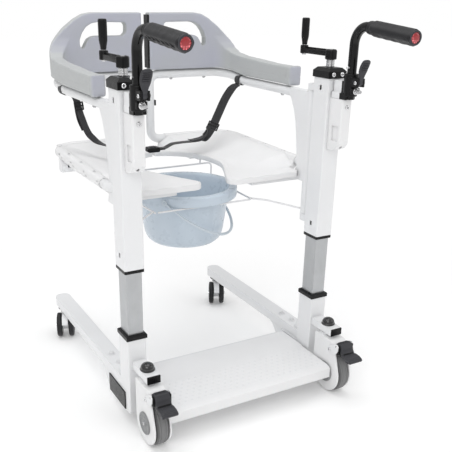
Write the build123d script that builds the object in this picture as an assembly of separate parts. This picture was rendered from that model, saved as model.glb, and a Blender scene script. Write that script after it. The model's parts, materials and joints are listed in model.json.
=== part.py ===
from build123d import *
import os
import math

# Sit to stand lift: two hand-cranked telescopic columns on a wheeled U base,
# carrying a split seat and backrest whose halves swing open about the columns.
# Units: millimetres. Origin: on the foot board's top face, midway between the
# columns, on the line through the two column axes. +X right, -Y front (foot board
# and push handles), +Z up. Heights below are counted from a datum 8 mm under the
# floor (FLOOR_Z), and save() lowers each piece by BOARD_Z1, so that the foot
# board's top face is at Z 0 and the floor at Z -90.
# Right-hand pieces are modelled at +X, left-hand ones mirrored.

# ---------------------------------------------------------------- dimensions
FLOOR_Z = 8.0            # where the four casters stand
COL_X = 275.0            # column axis from the middle plane
TUBE_W, TUBE_D = 50.0, 60.0
TUBE_T = 2.5
MAST_W, MAST_D, MAST_T = 40.0, 48.0, 2.0
STUB_Z0, STUB_Z1 = 44.0, 250.0
COLLAR_Z1 = 262.0
MAST_Z0, MAST_Z1 = 60.0, 640.0
COL_Z0, COL_Z1 = 432.0, 842.0
CAP_Z1 = 866.0

CROSS_Y0, CROSS_Y1 = -4.0, 104.0
CROSS_Z0, CROSS_Z1 = 46.0, 94.0
LEG_X0, LEG_X1 = 255.0, 300.0
LEG_Z0, LEG_Z1 = 97.0, 125.0
LEG_Y1 = 600.0
ARM_X0, ARM_X1 = 255.0, 289.0
ARM_Y0 = -118.0
ARM_Z0, ARM_Z1 = 173.5, 193.5
FRONT_PIN = (272.0, -83.0)
FRONT_R = 58.0
FRONT_AXLE = (272.0, -114.0, FLOOR_Z + FRONT_R)
CHEEK_R = 55.5
REAR_PIN = (278.0, 561.0)
REAR_R = 38.0
REAR_Z = FLOOR_Z + REAR_R
REAR_TRAIL = 28.0
REAR_SWIVEL_L, REAR_SWIVEL_R = 21.0, 27.0

BOARD_X = 244.0
BOARD_Y0, BOARD_Y1 = -142.0, 88.0
BOARD_Z0, BOARD_Z1 = 62.0, 98.0

SCREW_R = 8.0
BORE_CLEAR = 0.05
SCREW_Z0, SCREW_Z1 = 300.0, 906.0
HUB_Z0, HUB_Z1 = 884.0, 908.0
HUB_R = 14.5
CRANK_LEN = 112.0
KNOB_Z0, KNOB_Z1 = 912.0, 977.0
KNOB_R = 10.0

STEM = (277.0, -82.0)     # push handle stem axis
STEM_R = 11.0
STEM_Z0 = 798.0
HANDLE_Z = 969.0
GRIP_R = 16.5
CLAMP_Z0, CLAMP_Z1 = 806.0, 858.0
CLAMP_R = 17.0
LEVER_PIVOT = (-113.0, 840.0)

HINGE = (270.0, 56.0)     # swing axis of a seat half
BARREL_Z0, BARREL_Z1 = 475.6, 805.4
BARREL_R = 12.5
HINGE_PIN_R = 6.0

FRAME_R = 12.5
LOOP_X0, LOOP_Y, LOOP_Z1 = 17.5, 524.0, 806.0
LATCH_Z = 720.0
PAD_X1, PAD_X0 = 295.0, 260.0
PAD_Z0, PAD_Z1 = 806.0, 820.0
PAD_TOP = 978.0

SEAT_T = 16.0
SEAT_Z = 590.0
RIM_R = 14.5

PAN_Y = 265.0
PAN_RIM_R = 150.0
PAN_Z0, PAN_Z1 = 378.0, 536.0
BAIL_R = 154.0
BAIL_REACH = 176.0
BAIL_DROP = 38.8          # degrees below level when hanging on the pan
BAIL_DIR = -135.4         # direction of the front bail lug
WIRE_R = 2.5
RAIL_Z = 508.0

BELT_W = 25.0

os.makedirs("parts", exist_ok=True)


# ------------------------------------------------------------------- helpers
def box(x0, x1, y0, y1, z0, z1):
    return Pos((x0 + x1) / 2, (y0 + y1) / 2, (z0 + z1) / 2) * Box(x1 - x0, y1 - y0, z1 - z0)


def cyl(r, x, y, z0, z1):
    return Pos(x, y, (z0 + z1) / 2) * Cylinder(r, z1 - z0)


def rod(r, a, b):
    a, b = Vector(*a), Vector(*b)
    d = b - a
    return Plane(origin=a, z_dir=d) * Cylinder(r, d.length, align=(Align.CENTER, Align.CENTER, Align.MIN))


def prism_yz(points, x0, x1):
    face = Plane(origin=(x0, 0, 0), x_dir=(0, 1, 0), z_dir=(1, 0, 0)) * make_face(Polyline(*points, close=True))
    return extrude(face, x1 - x0, dir=(1, 0, 0))


def prism_xz(points, y0, y1):
    face = Plane(origin=(0, y0, 0), x_dir=(1, 0, 0), z_dir=(0, -1, 0)) * make_face(Polyline(*points, close=True))
    return extrude(face, y1 - y0, dir=(0, 1, 0))


def prism_xy(points, z0, z1):
    face = Plane(origin=(0, 0, z0)) * make_face(Polyline(*points, close=True))
    return extrude(face, z1 - z0, dir=(0, 0, 1))


def rounded_path(points, radii):
    """Lines through the points with each inner corner rounded to its radius."""
    pts = [Vector(*p) for p in points]
    edges, start = [], pts[0]
    for i in range(1, len(pts) - 1):
        p, u, v = pts[i], (pts[i - 1] - pts[i]).normalized(), (pts[i + 1] - pts[i]).normalized()
        half = math.acos(max(-1.0, min(1.0, u.dot(v)))) / 2
        r = radii[i - 1]
        t = r / math.tan(half)
        bis = (u + v).normalized()
        a, b = p + u * t, p + v * t
        mid = p + bis * (r / math.sin(half) - r)
        edges.append(Edge.make_line(start, a))
        edges.append(Edge.make_three_point_arc(a, mid, b))
        start = b
    edges.append(Edge.make_line(start, pts[-1]))
    return Wire(edges)


def pipe(points, radii, r):
    path = rounded_path(points, radii)
    start = path @ 0
    face = Plane(origin=start, z_dir=path % 0) * Circle(r)
    return sweep(face, path=path)


def hull_yz(circles, x0, x1, n=40):
    """Convex outline round several circles (y, z, r), as a prism along X."""
    cloud = []
    for y, z, r in circles:
        for i in range(n):
            a = 2 * math.pi * i / n
            cloud.append((y + r * math.cos(a), z + r * math.sin(a)))
    cloud = sorted(set((round(a, 6), round(b, 6)) for a, b in cloud))

    def half(points):
        out = []
        for q in points:
            while len(out) > 1 and (out[-1][0] - out[-2][0]) * (q[1] - out[-2][1]) - (out[-1][1] - out[-2][1]) * (q[0] - out[-2][0]) <= 1e-9:
                out.pop()
            out.append(q)
        return out

    low, up = half(cloud), half(cloud[::-1])
    return prism_yz(low[:-1] + up[:-1], x0, x1)


def one(shape):
    """The shape's single solid, cleaned."""
    s = shape.solids()
    return s[0] if len(s) == 1 else Compound(list(s))


def left(shape):
    return mirror(shape, about=Plane.YZ)


def save(name, *shapes):
    solids = []
    for s in shapes:
        solids += list(s.solids())
    out = solids[0] if len(solids) == 1 else Compound(solids)
    out = Pos(0, 0, -BOARD_Z1) * out
    out.label = name
    export_step(out, "parts/%s.step" % name)


def pair(name, *shapes):
    save("right_" + name, *shapes)
    save("left_" + name, *[left(s) for s in shapes])


def group(name, *shapes):
    save(name, *shapes, *[left(s) for s in shapes])


def rect_tube(cx, cy, w, d, t, z0, z1):
    return box(cx - w / 2, cx + w / 2, cy - d / 2, cy + d / 2, z0, z1) - box(cx - w / 2 + t, cx + w / 2 - t, cy - d / 2 + t, cy + d / 2 - t, z0 - 1, z1 + 1)


# ---------------------------------------------------------------- base frame
stub = box(COL_X - 25, COL_X + 25, -30, 30, STUB_Z0, STUB_Z1)
stub = fillet(stub.edges().filter_by(Axis.Z), 4)
foot = box(250, 300, 26, 110, STUB_Z0, 97)
leg = box(LEG_X0, LEG_X1, 20, LEG_Y1, LEG_Z0, LEG_Z1)
leg = fillet(leg.edges().filter_by(Axis.Z).sort_by(Axis.Y)[-2:], 20)
gusset = prism_yz([(109, STUB_Z0 + 2), (109, 98), (186, 98), (166, 88), (146, 66), (128, 48)], 258, 297)
knee = prism_yz([(28, 124), (28, 165), (60, 124)], 262, 288)
frame = stub + foot + leg + gusset + knee
frame -= box(COL_X - 22.5, COL_X + 22.5, -27.5, 27.5, STUB_Z0 - 1, STUB_Z1 + 1)
frame -= box(LEG_X0 + 2.5, LEG_X1 - 2.5, 112, LEG_Y1 - 14, LEG_Z0 + 2.5, LEG_Z1 - 2.5)
frame -= box(240, 310, 33, 101, 49, 91)
arm = box(ARM_X0, ARM_X1, ARM_Y0, -29.9, ARM_Z0, ARM_Z1)
arm -= box(ARM_X0 + 2, ARM_X1 - 2, ARM_Y0 - 1, -40, ARM_Z0 + 2, ARM_Z1 - 2)
arm += cyl(14, FRONT_PIN[0], FRONT_PIN[1], ARM_Z0, ARM_Z1)
arm -= cyl(SCREW_R + BORE_CLEAR, FRONT_PIN[0], FRONT_PIN[1], ARM_Z0 - 1, ARM_Z1 + 1)
frame += arm
socket = cyl(14, REAR_PIN[0], REAR_PIN[1], LEG_Z0, LEG_Z1)
frame += socket
frame -= cyl(5.5 + BORE_CLEAR, REAR_PIN[0], REAR_PIN[1], LEG_Z0 - 1, LEG_Z1 - 3)
for y in (94.0, 147.0):
    frame -= cyl(4.2, COL_X + 2.5, y, LEG_Z1 - 6, LEG_Z1 + 1)
pair("leg_frame", frame)

cross = box(-249.9, 249.9, CROSS_Y0, CROSS_Y1, CROSS_Z0, CROSS_Z1)
cross = fillet(cross.edges().filter_by(Axis.X), 5)
cross -= box(-251, 251, CROSS_Y0 + 2.5, CROSS_Y1 - 2.5, CROSS_Z0 + 2.5, CROSS_Z1 - 2.5)
save("cross_tube", cross)

# foot board: pressed tray over the cross tube, front lip turned down
board = prism_yz(
    [(BOARD_Y1, 95.0), (BOARD_Y1, BOARD_Z1), (-6, BOARD_Z1), (-12, 95.5), (-124, 95.0), (-136, 93.0), (BOARD_Y0, 88.0), (BOARD_Y0, BOARD_Z0),
     (BOARD_Y0 + 3, BOARD_Z0), (BOARD_Y0 + 3, 86.5), (-134.5, 90.2), (-124, 92.0), (-12, 92.5), (-6, 95.0)],
    -BOARD_X, BOARD_X)
for s in (-1, 1):
    x0, x1 = sorted((s * BOARD_X, s * (BOARD_X - 3)))
    board += prism_yz([(-14, 94.5), (-124, 94.0), (-136, 92.0), (BOARD_Y0 + 1, 87), (BOARD_Y0 + 1, BOARD_Z0), (-128, 66), (-14, 82)], x0, x1)
for y in (-100, -60, -20):
    board += box(-225, 225, y, y + 5, 86.0, 93.0)
save("foot_board", board)

# silver inner masts, fixed in the stubs
mast = rect_tube(COL_X, 0, MAST_W, MAST_D, MAST_T, MAST_Z0, MAST_Z1)
mast_l = left(mast)
save("masts", mast, mast_l)

collar = box(COL_X - 27, COL_X + 27, -32, 32, STUB_Z1 + 0.02, COLLAR_Z1)
collar = chamfer(collar.edges().group_by(Axis.Z)[-1], 2.5)
collar += box(COL_X - 22.4, COL_X + 22.4, -27.4, 27.4, 205, STUB_Z1 + 0.1)
collar -= box(COL_X - 20, COL_X + 20, -24, 24, 200, 270)
group("mast_collars", collar)

# lift nut: a block closing the mast top, with the screw thread's clearance bore
nut = box(COL_X - 17.9, COL_X + 17.9, -21.9, 21.9, 590, MAST_Z1)
nut += box(COL_X - 22.2, COL_X + 22.2, -27.2, 27.2, MAST_Z1 + 0.02, MAST_Z1 + 15)
nut -= cyl(SCREW_R + BORE_CLEAR, COL_X, 0, 580, 670)
group("lift_nuts", nut)

dome = Pos(FRONT_PIN[0], FRONT_PIN[1], ARM_Z1 + 0.02) * Cylinder(17, 4, align=(Align.CENTER, Align.CENTER, Align.MIN))
dome += Pos(FRONT_PIN[0], FRONT_PIN[1], ARM_Z1 + 4) * (Sphere(17) - Box(60, 60, 60, align=(Align.CENTER, Align.CENTER, Align.MAX)))
dome -= box(240, 300, -110, -50, ARM_Z1 + 14, 260)
group("caster_pin_caps", dome)

arm_plug = box(ARM_X0, ARM_X1, ARM_Y0 - 3, ARM_Y0 - 0.02, ARM_Z0, ARM_Z1) + box(ARM_X0 + 2.2, ARM_X1 - 2.2, ARM_Y0 - 0.1, ARM_Y0 + 12, ARM_Z0 + 2.2, ARM_Z1 - 2.2)
tube_plug = box(300.02, 303, CROSS_Y0, CROSS_Y1 + 2, CROSS_Z0 - 2, CROSS_Z1) + box(288, 300.1, 33.2, 100.8, 49.2, 90.8)
group("tube_plugs", arm_plug, tube_plug)

bolts = []
for y in (94.0, 147.0):
    bolts.append(cyl(4.0, COL_X + 2.5, y, LEG_Z1 - 5.5, LEG_Z1 + 0.1) + cyl(8, COL_X + 2.5, y, LEG_Z1 + 0.02, LEG_Z1 + 1.5)
                 + Pos(COL_X + 2.5, y, LEG_Z1 + 4) * extrude(RegularPolygon(6.5, 6), 2.6, both=True))
group("frame_bolts", *bolts)

# ------------------------------------------------------------- front casters
cx, cy = FRONT_PIN
ay, az = FRONT_AXLE[1], FRONT_AXLE[2]
crown = prism_yz([(-58, 166), (-128, 166), (-138, 162), (-144, 154), (-145, 144), (-140, 138), (-58, 138)], cx - 23, cx + 23)
fork = crown
for s in (-1, 1):
    x0, x1 = sorted((cx + s * 18, cx + s * 23))
    fork += hull_yz([(ay, az, CHEEK_R), (-133, 150, 12), (-70, 152, 12)], x0, x1)
fork += cyl(15, cx, cy, 165, 172.6)
fork += cyl(SCREW_R, cx, cy, 160, ARM_Z1)
fork -= rod(7.0, (cx - 40, ay, az), (cx + 40, ay, az))
tyre = rod(FRONT_R, (cx - 16, ay, az), (cx + 16, ay, az))
tyre = fillet(tyre.edges().filter_by(GeomType.CIRCLE), 9)
tyre -= rod(39, (cx - 17, ay, az), (cx - 13, ay, az))
tyre -= rod(39, (cx + 13, ay, az), (cx + 17, ay, az))
tyre -= rod(6.0 + BORE_CLEAR, (cx - 20, ay, az), (cx + 20, ay, az))
axle = rod(6.0, (cx - 24, ay, az), (cx + 24, ay, az))
for s in (-1, 1):
    axle += rod(28.0, (cx + s * 23.05, ay, az), (cx + s * 27, ay, az))
    axle += rod(9.0, (cx + s * 16.3, ay, az), (cx + s * 17.9, ay, az))
pivot = (-129.0, 142.0)
# the pedal's cheeks sit outside the fork on a cross pin
pedal = prism_yz([(-152, 168), (-168, 169), (-173, 152), (-211, 142), (-209, 133), (-168, 130), (-152, 134)], cx - 17.5, cx + 17.5)
for s in (-1, 1):
    x0, x1 = sorted((cx + s * 23.4, cx + s * 27))
    pedal += hull_yz([(pivot[0], pivot[1], 9), (-160, 150, 12)], x0, x1)
    x0, x1 = sorted((cx + s * 17, cx + s * 27))
    pedal += box(x0, x1, -168, -154, 140, 162)
pedal += rod(4.0, (cx - 27, *pivot), (cx + 27, *pivot))
fork += hull_yz([(pivot[0], pivot[1], 10), (-106, 150, 12)], cx - 23, cx - 18)
fork += hull_yz([(pivot[0], pivot[1], 10), (-106, 150, 12)], cx + 18, cx + 23)
fork -= rod(4.0 + BORE_CLEAR, (cx - 40, *pivot), (cx + 40, *pivot))
pair("front_fork", fork)
pair("front_wheel", tyre)
pair("front_axle", axle)
pair("front_pedal", pedal)


# -------------------------------------------------------------- rear casters
def rear(side, angle):
    """Twin-wheel caster turned so that its wheels trail to the front."""
    px, py = side * REAR_PIN[0], REAR_PIN[1]
    place = Pos(px, py, 0) * Rot(0, 0, -angle)
    horn = hull_yz([(-REAR_TRAIL, REAR_Z, 15), (-6, 76, 14), (6, 80, 10)], -9.0, 9.0)
    horn += hull_yz([(-REAR_TRAIL - 2, REAR_Z + 5, 34), (-4, 74, 15), (8, 78, 11)], -9.0, 9.0) & box(-9, 9, -80, 40, 58, 90.5)
    horn += cyl(15, 0, 0, 80, 96.4)
    horn += cyl(5.5, 0, 0, 90, LEG_Z1 - 4)
    horn += rod(5.0, (-26, -REAR_TRAIL, REAR_Z), (26, -REAR_TRAIL, REAR_Z))
    wheels = []
    for s in (-1, 1):
        w = rod(REAR_R, (s * 10, -REAR_TRAIL, REAR_Z), (s * 26, -REAR_TRAIL, REAR_Z))
        w = fillet(w.edges().filter_by(GeomType.CIRCLE), 4)
        w -= rod(25, (s * 22, -REAR_TRAIL, REAR_Z), (s * 27, -REAR_TRAIL, REAR_Z))
        w -= rod(5.0 + BORE_CLEAR, (s * 5, -REAR_TRAIL, REAR_Z), (s * 30, -REAR_TRAIL, REAR_Z))
        wheels.append(w)
    return place * horn, [place * w for w in wheels]


for name, side, angle in (("left", -1, REAR_SWIVEL_L), ("right", 1, REAR_SWIVEL_R)):
    horn, wheels = rear(side, angle)
    save(name + "_rear_horn", horn)
    save(name + "_rear_wheels", *wheels)

# ------------------------------------------------------------ moving columns
column = box(COL_X - 25, COL_X + 25, -30, 30, COL_Z0, COL_Z1)
column = fillet(column.edges().filter_by(Axis.Z), 4)
column -= box(COL_X - 22.5, COL_X + 22.5, -27.5, 27.5, COL_Z0 - 1, COL_Z1 + 1)
for z in (458.0, 812.0):
    column -= box(COL_X - 26, COL_X + 26, -4, 4, z, z + 12)
hx, hy = HINGE
for z0, z1 in ((456.0, BARREL_Z0 - 0.1), (BARREL_Z1 + 0.1, 821.0)):
    lug = box(hx - 13, hx + 13, 29.0, hy, z0, z1) + cyl(13, hx, hy, z0, z1)
    lug -= cyl(HINGE_PIN_R + BORE_CLEAR, hx, hy, z0 - 1, z1 + 1)
    column += lug - box(COL_X - 22.5, COL_X + 22.5, -27.5, 27.5, 0, 1000)
pair("column_tube", column)

cap = box(COL_X - 27, COL_X + 27, -33, 33, COL_Z1 + 0.02, CAP_Z1)
cap = chamfer(cap.edges().group_by(Axis.Z)[-1], 8)
cap += box(COL_X - 22.3, COL_X + 22.3, -27.3, 27.3, 826, COL_Z1 + 0.1)
cap -= cyl(SCREW_R + BORE_CLEAR, COL_X, 0, 800, 900)
for s in (-1, 1):
    cap -= rod(3.6, (COL_X + s * 13, -34, 851), (COL_X + s * 13, -22, 851))
pair("column_cap", cap)

# plastic guide bush in the column's lower end, sliding on the mast
bush = box(COL_X - 25, COL_X + 25, -30, 30, 424, COL_Z0 - 0.02)
bush = fillet(bush.edges().filter_by(Axis.Z), 4)
bush += box(COL_X - 22.4, COL_X + 22.4, -27.4, 27.4, COL_Z0 - 0.1, 500)
bush -= box(COL_X - 20.06, COL_X + 20.06, -24.06, 24.06, 400, 510)
pair("column_bush", bush)

bracket = prism_yz([(-30.02, 797), (-78, 797), (-78, 700), (-74, 686), (-64, 675), (-50, 669), (-30.02, 668)], COL_X - 15, COL_X + 15)
bracket = fillet(bracket.edges().filter_by(Axis.Z).sort_by(Axis.Y)[:2], 5)
bracket -= box(COL_X - 16, COL_X - 11, -68, -44, 694, 731)
bracket -= box(COL_X + 11, COL_X + 16, -68, -44, 694, 731)
for z in (778.0, 678.0):
    bracket -= rod(3.6, (COL_X, -90, z), (COL_X, -70 if z > 700 else -58, z))
pair("handle_bracket", bracket)

sx, sy = STEM
clamp = cyl(CLAMP_R, sx, sy, CLAMP_Z0, CLAMP_Z1)
clamp += box(sx - 12, sx + 12, sy, -33.1, 812, 840)
clamp += box(COL_X - 15, COL_X + 15, sy - 4, -33.1, 797.04, 812.1)
clamp += box(sx - 12, sx + 12, -102, sy, 812, 826)
clamp += box(sx - 11, sx - 5.2, -119, sy, 830, 850) + box(sx + 5.2, sx + 11, -119, sy, 830, 850)
clamp -= cyl(STEM_R + BORE_CLEAR, sx, sy, 790, 900)
clamp -= box(sx - 5.2, sx + 5.2, -125, sy - CLAMP_R - 0.5, 828, 860)
clamp -= rod(3.0 + BORE_CLEAR, (sx - 20, *LEVER_PIVOT), (sx + 20, *LEVER_PIVOT))
clamp -= rod(3.6, (sx, -103, 819), (sx, -95, 819))
pair("handle_clamp", clamp)

fasteners = []
for s in (-1, 1):
    fasteners.append(rod(3.5, (COL_X + s * 13, -33.1, 851), (COL_X + s * 13, -22.2, 851)) + rod(6.5, (COL_X + s * 13, -33.02, 851), (COL_X + s * 13, -37, 851)))
fasteners.append(rod(3.5, (COL_X, -78.1, 778), (COL_X, -70.2, 778)) + rod(6.0, (COL_X, -78.02, 778), (COL_X, -81.5, 778)))
fasteners.append(rod(3.5, (sx, -102.1, 819), (sx, -95.2, 819)) + rod(8, (sx, -102.02, 819), (sx, -104, 819))
                 + Plane(origin=(sx, -104, 819), z_dir=(0, -1, 0)) * extrude(RegularPolygon(6.8, 6), 6)
                 + rod(4.0, (sx, -104, 819), (sx, -120, 819)))
pair("column_fasteners", *fasteners)

# ------------------------------------------------------ lead screw and crank
screw = cyl(SCREW_R, COL_X, 0, SCREW_Z0, CAP_Z1 + 2)
screw += cyl(9.5, COL_X, 0, CAP_Z1 + 0.1, HUB_Z0 - 0.1)
screw += cyl(6.0, COL_X, 0, CAP_Z1, SCREW_Z1)
screw = chamfer(screw.edges().group_by(Axis.Z)[0], 1.5)
pair("lead_screw", screw)

crank = cyl(HUB_R, COL_X, 0, HUB_Z0, HUB_Z1)
bar = prism_xy([(COL_X - 8, 8), (COL_X - 7, CRANK_LEN - 2), (COL_X - 5, CRANK_LEN + 6), (COL_X + 5, CRANK_LEN + 6), (COL_X + 7, CRANK_LEN - 2), (COL_X + 8, 8)], 891, HUB_Z1)
crank += bar
crank += cyl(10, COL_X, CRANK_LEN, 891, 911)
crank -= cyl(6.0 + BORE_CLEAR, COL_X, 0, HUB_Z0 - 1, SCREW_Z1 + 0.1)
crank += cyl(3.5, COL_X, CRANK_LEN, 905, KNOB_Z1 - 6)
pair("crank", crank)

knob_face = make_face(Polyline((3.5 + BORE_CLEAR, KNOB_Z0), (6.5, KNOB_Z0), (7.0, KNOB_Z0 + 4), (KNOB_R, KNOB_Z0 + 20), (KNOB_R, KNOB_Z1 - 3), (KNOB_R - 2.5, KNOB_Z1), (0, KNOB_Z1), (0, KNOB_Z1 - 5.5), (3.5 + BORE_CLEAR, KNOB_Z1 - 5.5), close=True))
knob = Pos(COL_X, CRANK_LEN, 0) * revolve(Plane.XZ * knob_face, Axis.Z)
pair("crank_knob", knob)

# -------------------------------------------------------------- push handles
tilt = math.radians(2.0)


def handle_point(d, z):
    return (sx - d * math.sin(tilt), sy - d * math.cos(tilt), z)


stem_path = [(sx, sy, STEM_Z0), handle_point(0, HANDLE_Z), handle_point(196, HANDLE_Z - 18)]
push_tube = pipe(stem_path, [42], STEM_R)
pair("push_tube", push_tube)
a, b = Vector(*handle_point(56, HANDLE_Z - 1.3)), Vector(*handle_point(196, HANDLE_Z - 18))
axis = (Vector(*handle_point(196, HANDLE_Z - 18)) - Vector(*handle_point(0, HANDLE_Z))).normalized()
g0 = Vector(*handle_point(0, HANDLE_Z)) + axis * 56
g1 = Vector(*handle_point(0, HANDLE_Z)) + axis * 201
grip = rod(GRIP_R, g0, g1)
grip = fillet(grip.edges().filter_by(GeomType.CIRCLE), 3.5)
grip -= rod(STEM_R + 0.02, g0 - axis * 2, Vector(*handle_point(0, HANDLE_Z)) + axis * 197.5)
pair("push_grip", grip)

# quick-release lever: cam barrel on a cross pin, spoon standing up the stem
lever = rod(7.0, (sx - 5.0, *LEVER_PIVOT), (sx + 5.0, *LEVER_PIVOT))
lever += prism_yz([(-117, 840), (-113, 846), (-116, 862), (-119, 888), (-124, 889.5), (-124.5, 862), (-121.5, 842)], sx - 5.0, sx + 5.0)
lever += prism_yz([(-115.6, 858), (-118.8, 886), (-121.5, 889.5), (-124.5, 888), (-124.3, 862), (-121, 856)], sx - 10, sx + 10)
lever += rod(3.0, (sx - 13, *LEVER_PIVOT), (sx + 13, *LEVER_PIVOT))
pair("clamp_lever", lever)

# ------------------------------------------------------------ swinging halves
barrel = cyl(BARREL_R, hx, hy, BARREL_Z0, BARREL_Z1)
pin = cyl(HINGE_PIN_R, hx, hy, 457, 820)
post = prism_yz([(hy, 564), (110, 564), (92, 600), (94, 625), (97, 645), (103, 690), (109, 719), (120, 750), (136, 777), (150, 790), (150, 800), (hy, 800)], hx - 12, hx + 12)
front_bar = box(110, hx, 82, 108, 564, 573.9)
rear_bar = box(110, 292, 440, 465, 562, 573.9) + box(274, 292, 440, 465, 562, 612)
# one closed loop of tube: out along the arm, down the middle, back along the seat
LOWER_RUN = [(LOOP_X0, LOOP_Y, 615), (284, LOOP_Y, 613.5), (284, 100, 604.5), (hx, 66, 603)]
loop = pipe([(hx, 70, 790), (hx + 5, 400, 790), (hx + 5, LOOP_Y, LOOP_Z1), (LOOP_X0, LOOP_Y, LOOP_Z1)] + LOWER_RUN,
            [200, 60, 26, 28, 60, 20], FRAME_R)
half = barrel + pin + post + front_bar + rear_bar + loop
left_half = left(half)
# peg on the left upright, under the latch lever
left_half += rod(5.0, (-LOOP_X0, LOOP_Y + 10, 706), (-LOOP_X0, 552, 706))
save("left_half_frame", left_half)
right_half = half + rod(10.0, (LOOP_X0, LOOP_Y + 8, LATCH_Z), (LOOP_X0, 542.9, LATCH_Z))
right_half += rod(4.0, (LOOP_X0, LOOP_Y + 8, LATCH_Z), (LOOP_X0, 553, LATCH_Z))
save("right_half_frame", right_half)

latch = rod(11.0, (LOOP_X0, 543, LATCH_Z), (LOOP_X0, 549, LATCH_Z)) + box(-26, LOOP_X0, 543, 549, LATCH_Z - 6, LATCH_Z + 6)
latch += rod(6.0, (-26, 543, LATCH_Z), (-26, 549, LATCH_Z))
latch += box(LOOP_X0, 46, 543, 549, LATCH_Z - 5, LATCH_Z + 5) + box(40, 46, 543, 562, LATCH_Z - 8, LATCH_Z + 8)
latch -= rod(4.0 + BORE_CLEAR, (LOOP_X0, 530, LATCH_Z), (LOOP_X0, 570, LATCH_Z))
save("latch_lever", latch)
save("latch_block", box(7.0, 11.9, 506, 534, 826, 972))


# armrest and backrest pad: an L in plan, cut to its two side outlines
def arc_points(c, r, a0, a1, n=10):
    return [(c[0] + r * math.cos(math.radians(a0 + (a1 - a0) * i / n)), c[1] + r * math.sin(math.radians(a0 + (a1 - a0) * i / n))) for i in range(n + 1)]


plan = [(PAD_X1 - 4, 146), (PAD_X1, 152)]
plan += arc_points((PAD_X1 - 75, 535 - 75), 75, 0, 90, 12)
plan += [(12, 535), (12, 505)]
plan += arc_points((PAD_X0 - 50, 505 - 50), 50, 90, 0)
plan += [(PAD_X0, 154), (PAD_X0 + 5, 147)]
pad = prism_xy(plan, 790, PAD_TOP)
front = [(0, 790), (0, PAD_TOP), (158, PAD_TOP), (182, 974), (206, 962), (240, 937), (274, 906), (300, 874), (300, 790)]
pad &= prism_xz(front, 100, 560)
side = [(140, PAD_Z0), (140, 848), (146, 853), (245, 853), (300, 856), (405, 860), (463, 867), (484, 878), (496, 894), (503, 912), (503.5, PAD_TOP + 1),
        (540, PAD_TOP + 1), (540, PAD_Z1), (505, PAD_Z1), (450, 814), (390, PAD_Z0)]
pad &= prism_yz(side, -10, 310)
slot = [(64, 952), (140, 953), (160, 950), (176, 941), (188, 926), (196, 908), (196, 892), (190, 884), (184, 887), (179, 897), (171, 909), (160, 915), (148, 917), (68, 917), (59, 926), (58, 943)]
pad -= prism_xz(slot, 480, 560)
pair("pad", pad)

# seat half: moulded board with its side of the pan opening
outline = [(270, 122), (254, 118), (254, 80), (246, 73), (120, 69), (66, 67), (52, 70), (42, 80), (40, 92), (46, 108), (66, 149), (88, 192), (105, 230), (111, 244), (117, 272), (118, 300), (116, 340), (108, 376), (92, 406),
           (70, 430), (45, 449), (20, 460), (4, 463), (4, 525), (246, 525), (262, 518), (270, 502)]
seat = prism_xy(outline, SEAT_Z - SEAT_T, SEAT_Z)
seat = fillet(seat.edges().group_by(Axis.Z)[-1], 3)
# moulded rim that wraps the lower tube along the outer side and the back
rim = pipe([(62, LOOP_Y, 614.7), (284, LOOP_Y, 613.5), (284, 122, 605)], [60], RIM_R)
rim += prism_xz([(240, 575), (262, 574), (286, 592), (286, 606), (270, 606), (262, 594), (254, 589.5), (240, 589.5)], 122, 470)
rim += prism_yz([(500, 575), (520, 574), (534, 584), (534, 606), (514, 606), (506, 594), (500, 589.5)], 62, 236)
corner = [(222, 522), (252, 520), (270, 508), (281, 490), (286, 468), (240, 466), (222, 492)]
rim += prism_xy(corner, 575, 589.5)
seat += rim
seat -= pipe([(20, LOOP_Y, 615), (284, LOOP_Y, 613.5), (284, 100, 604.5), (hx, 66, 603)], [60, 20], FRAME_R + 0.03)
seat -= box(272, 294, 438, 467, 560, 614)
pair("seat", seat)


# wire cradle of the pan
def wires(*paths):
    out = None
    for pts, radii in paths:
        w = pipe(pts, radii, WIRE_R)
        out = w if out is None else out + w
    return out


cradle_r = wires(
    ([(-128, 392, 556), (158, 392, 556), (158, 392, RAIL_Z), (146, 135, RAIL_Z), (-138, 135, RAIL_Z)], [12, 12, 12]),
    ([(146.5, 147, RAIL_Z), (185, 118, RAIL_Z - 3), (262, 66, RAIL_Z - 22)], [30]),
    ([(120, 392, 556), (120, 392, 573.5)], []),
)
cradle_r += box(108, 132, 384, 408, 571.0, 573.9)
cradle_l = wires(
    ([(-158, 392, 573.5), (-158, 392, RAIL_Z), (-146, 135, RAIL_Z)], [12]),
    ([(-146.5, 147, RAIL_Z), (-185, 118, RAIL_Z - 3), (-262, 66, RAIL_Z - 22)], [30]),
)
cradle_l += box(-170, -146, 384, 408, 571.0, 573.9)
save("right_cradle", cradle_r - cyl(BARREL_R + 0.02, hx, hy, 400, 600))
save("left_cradle", cradle_l - cyl(BARREL_R + 0.02, -hx, hy, 400, 600))

# --------------------------------------------------------------- belt halves
def strap(points, t):
    """A band of thickness t along a line of (x, y, z) points, wide along Y."""
    out = None
    for i, (a, b) in enumerate(zip(points[:-1], points[1:])):
        a, b = Vector(*a), Vector(*b)
        d = b - a
        seg = Plane(origin=a, x_dir=Vector(0, 1, 0) - d * (d.Y / d.dot(d)), z_dir=d) * Box(BELT_W, t, d.length, align=(Align.CENTER, Align.CENTER, Align.MIN))
        out = seg if out is None else out + seg
        if i:
            out += rod(t / 2, a - Vector(0, BELT_W / 2, 0), a + Vector(0, BELT_W / 2, 0))
    return out


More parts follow.
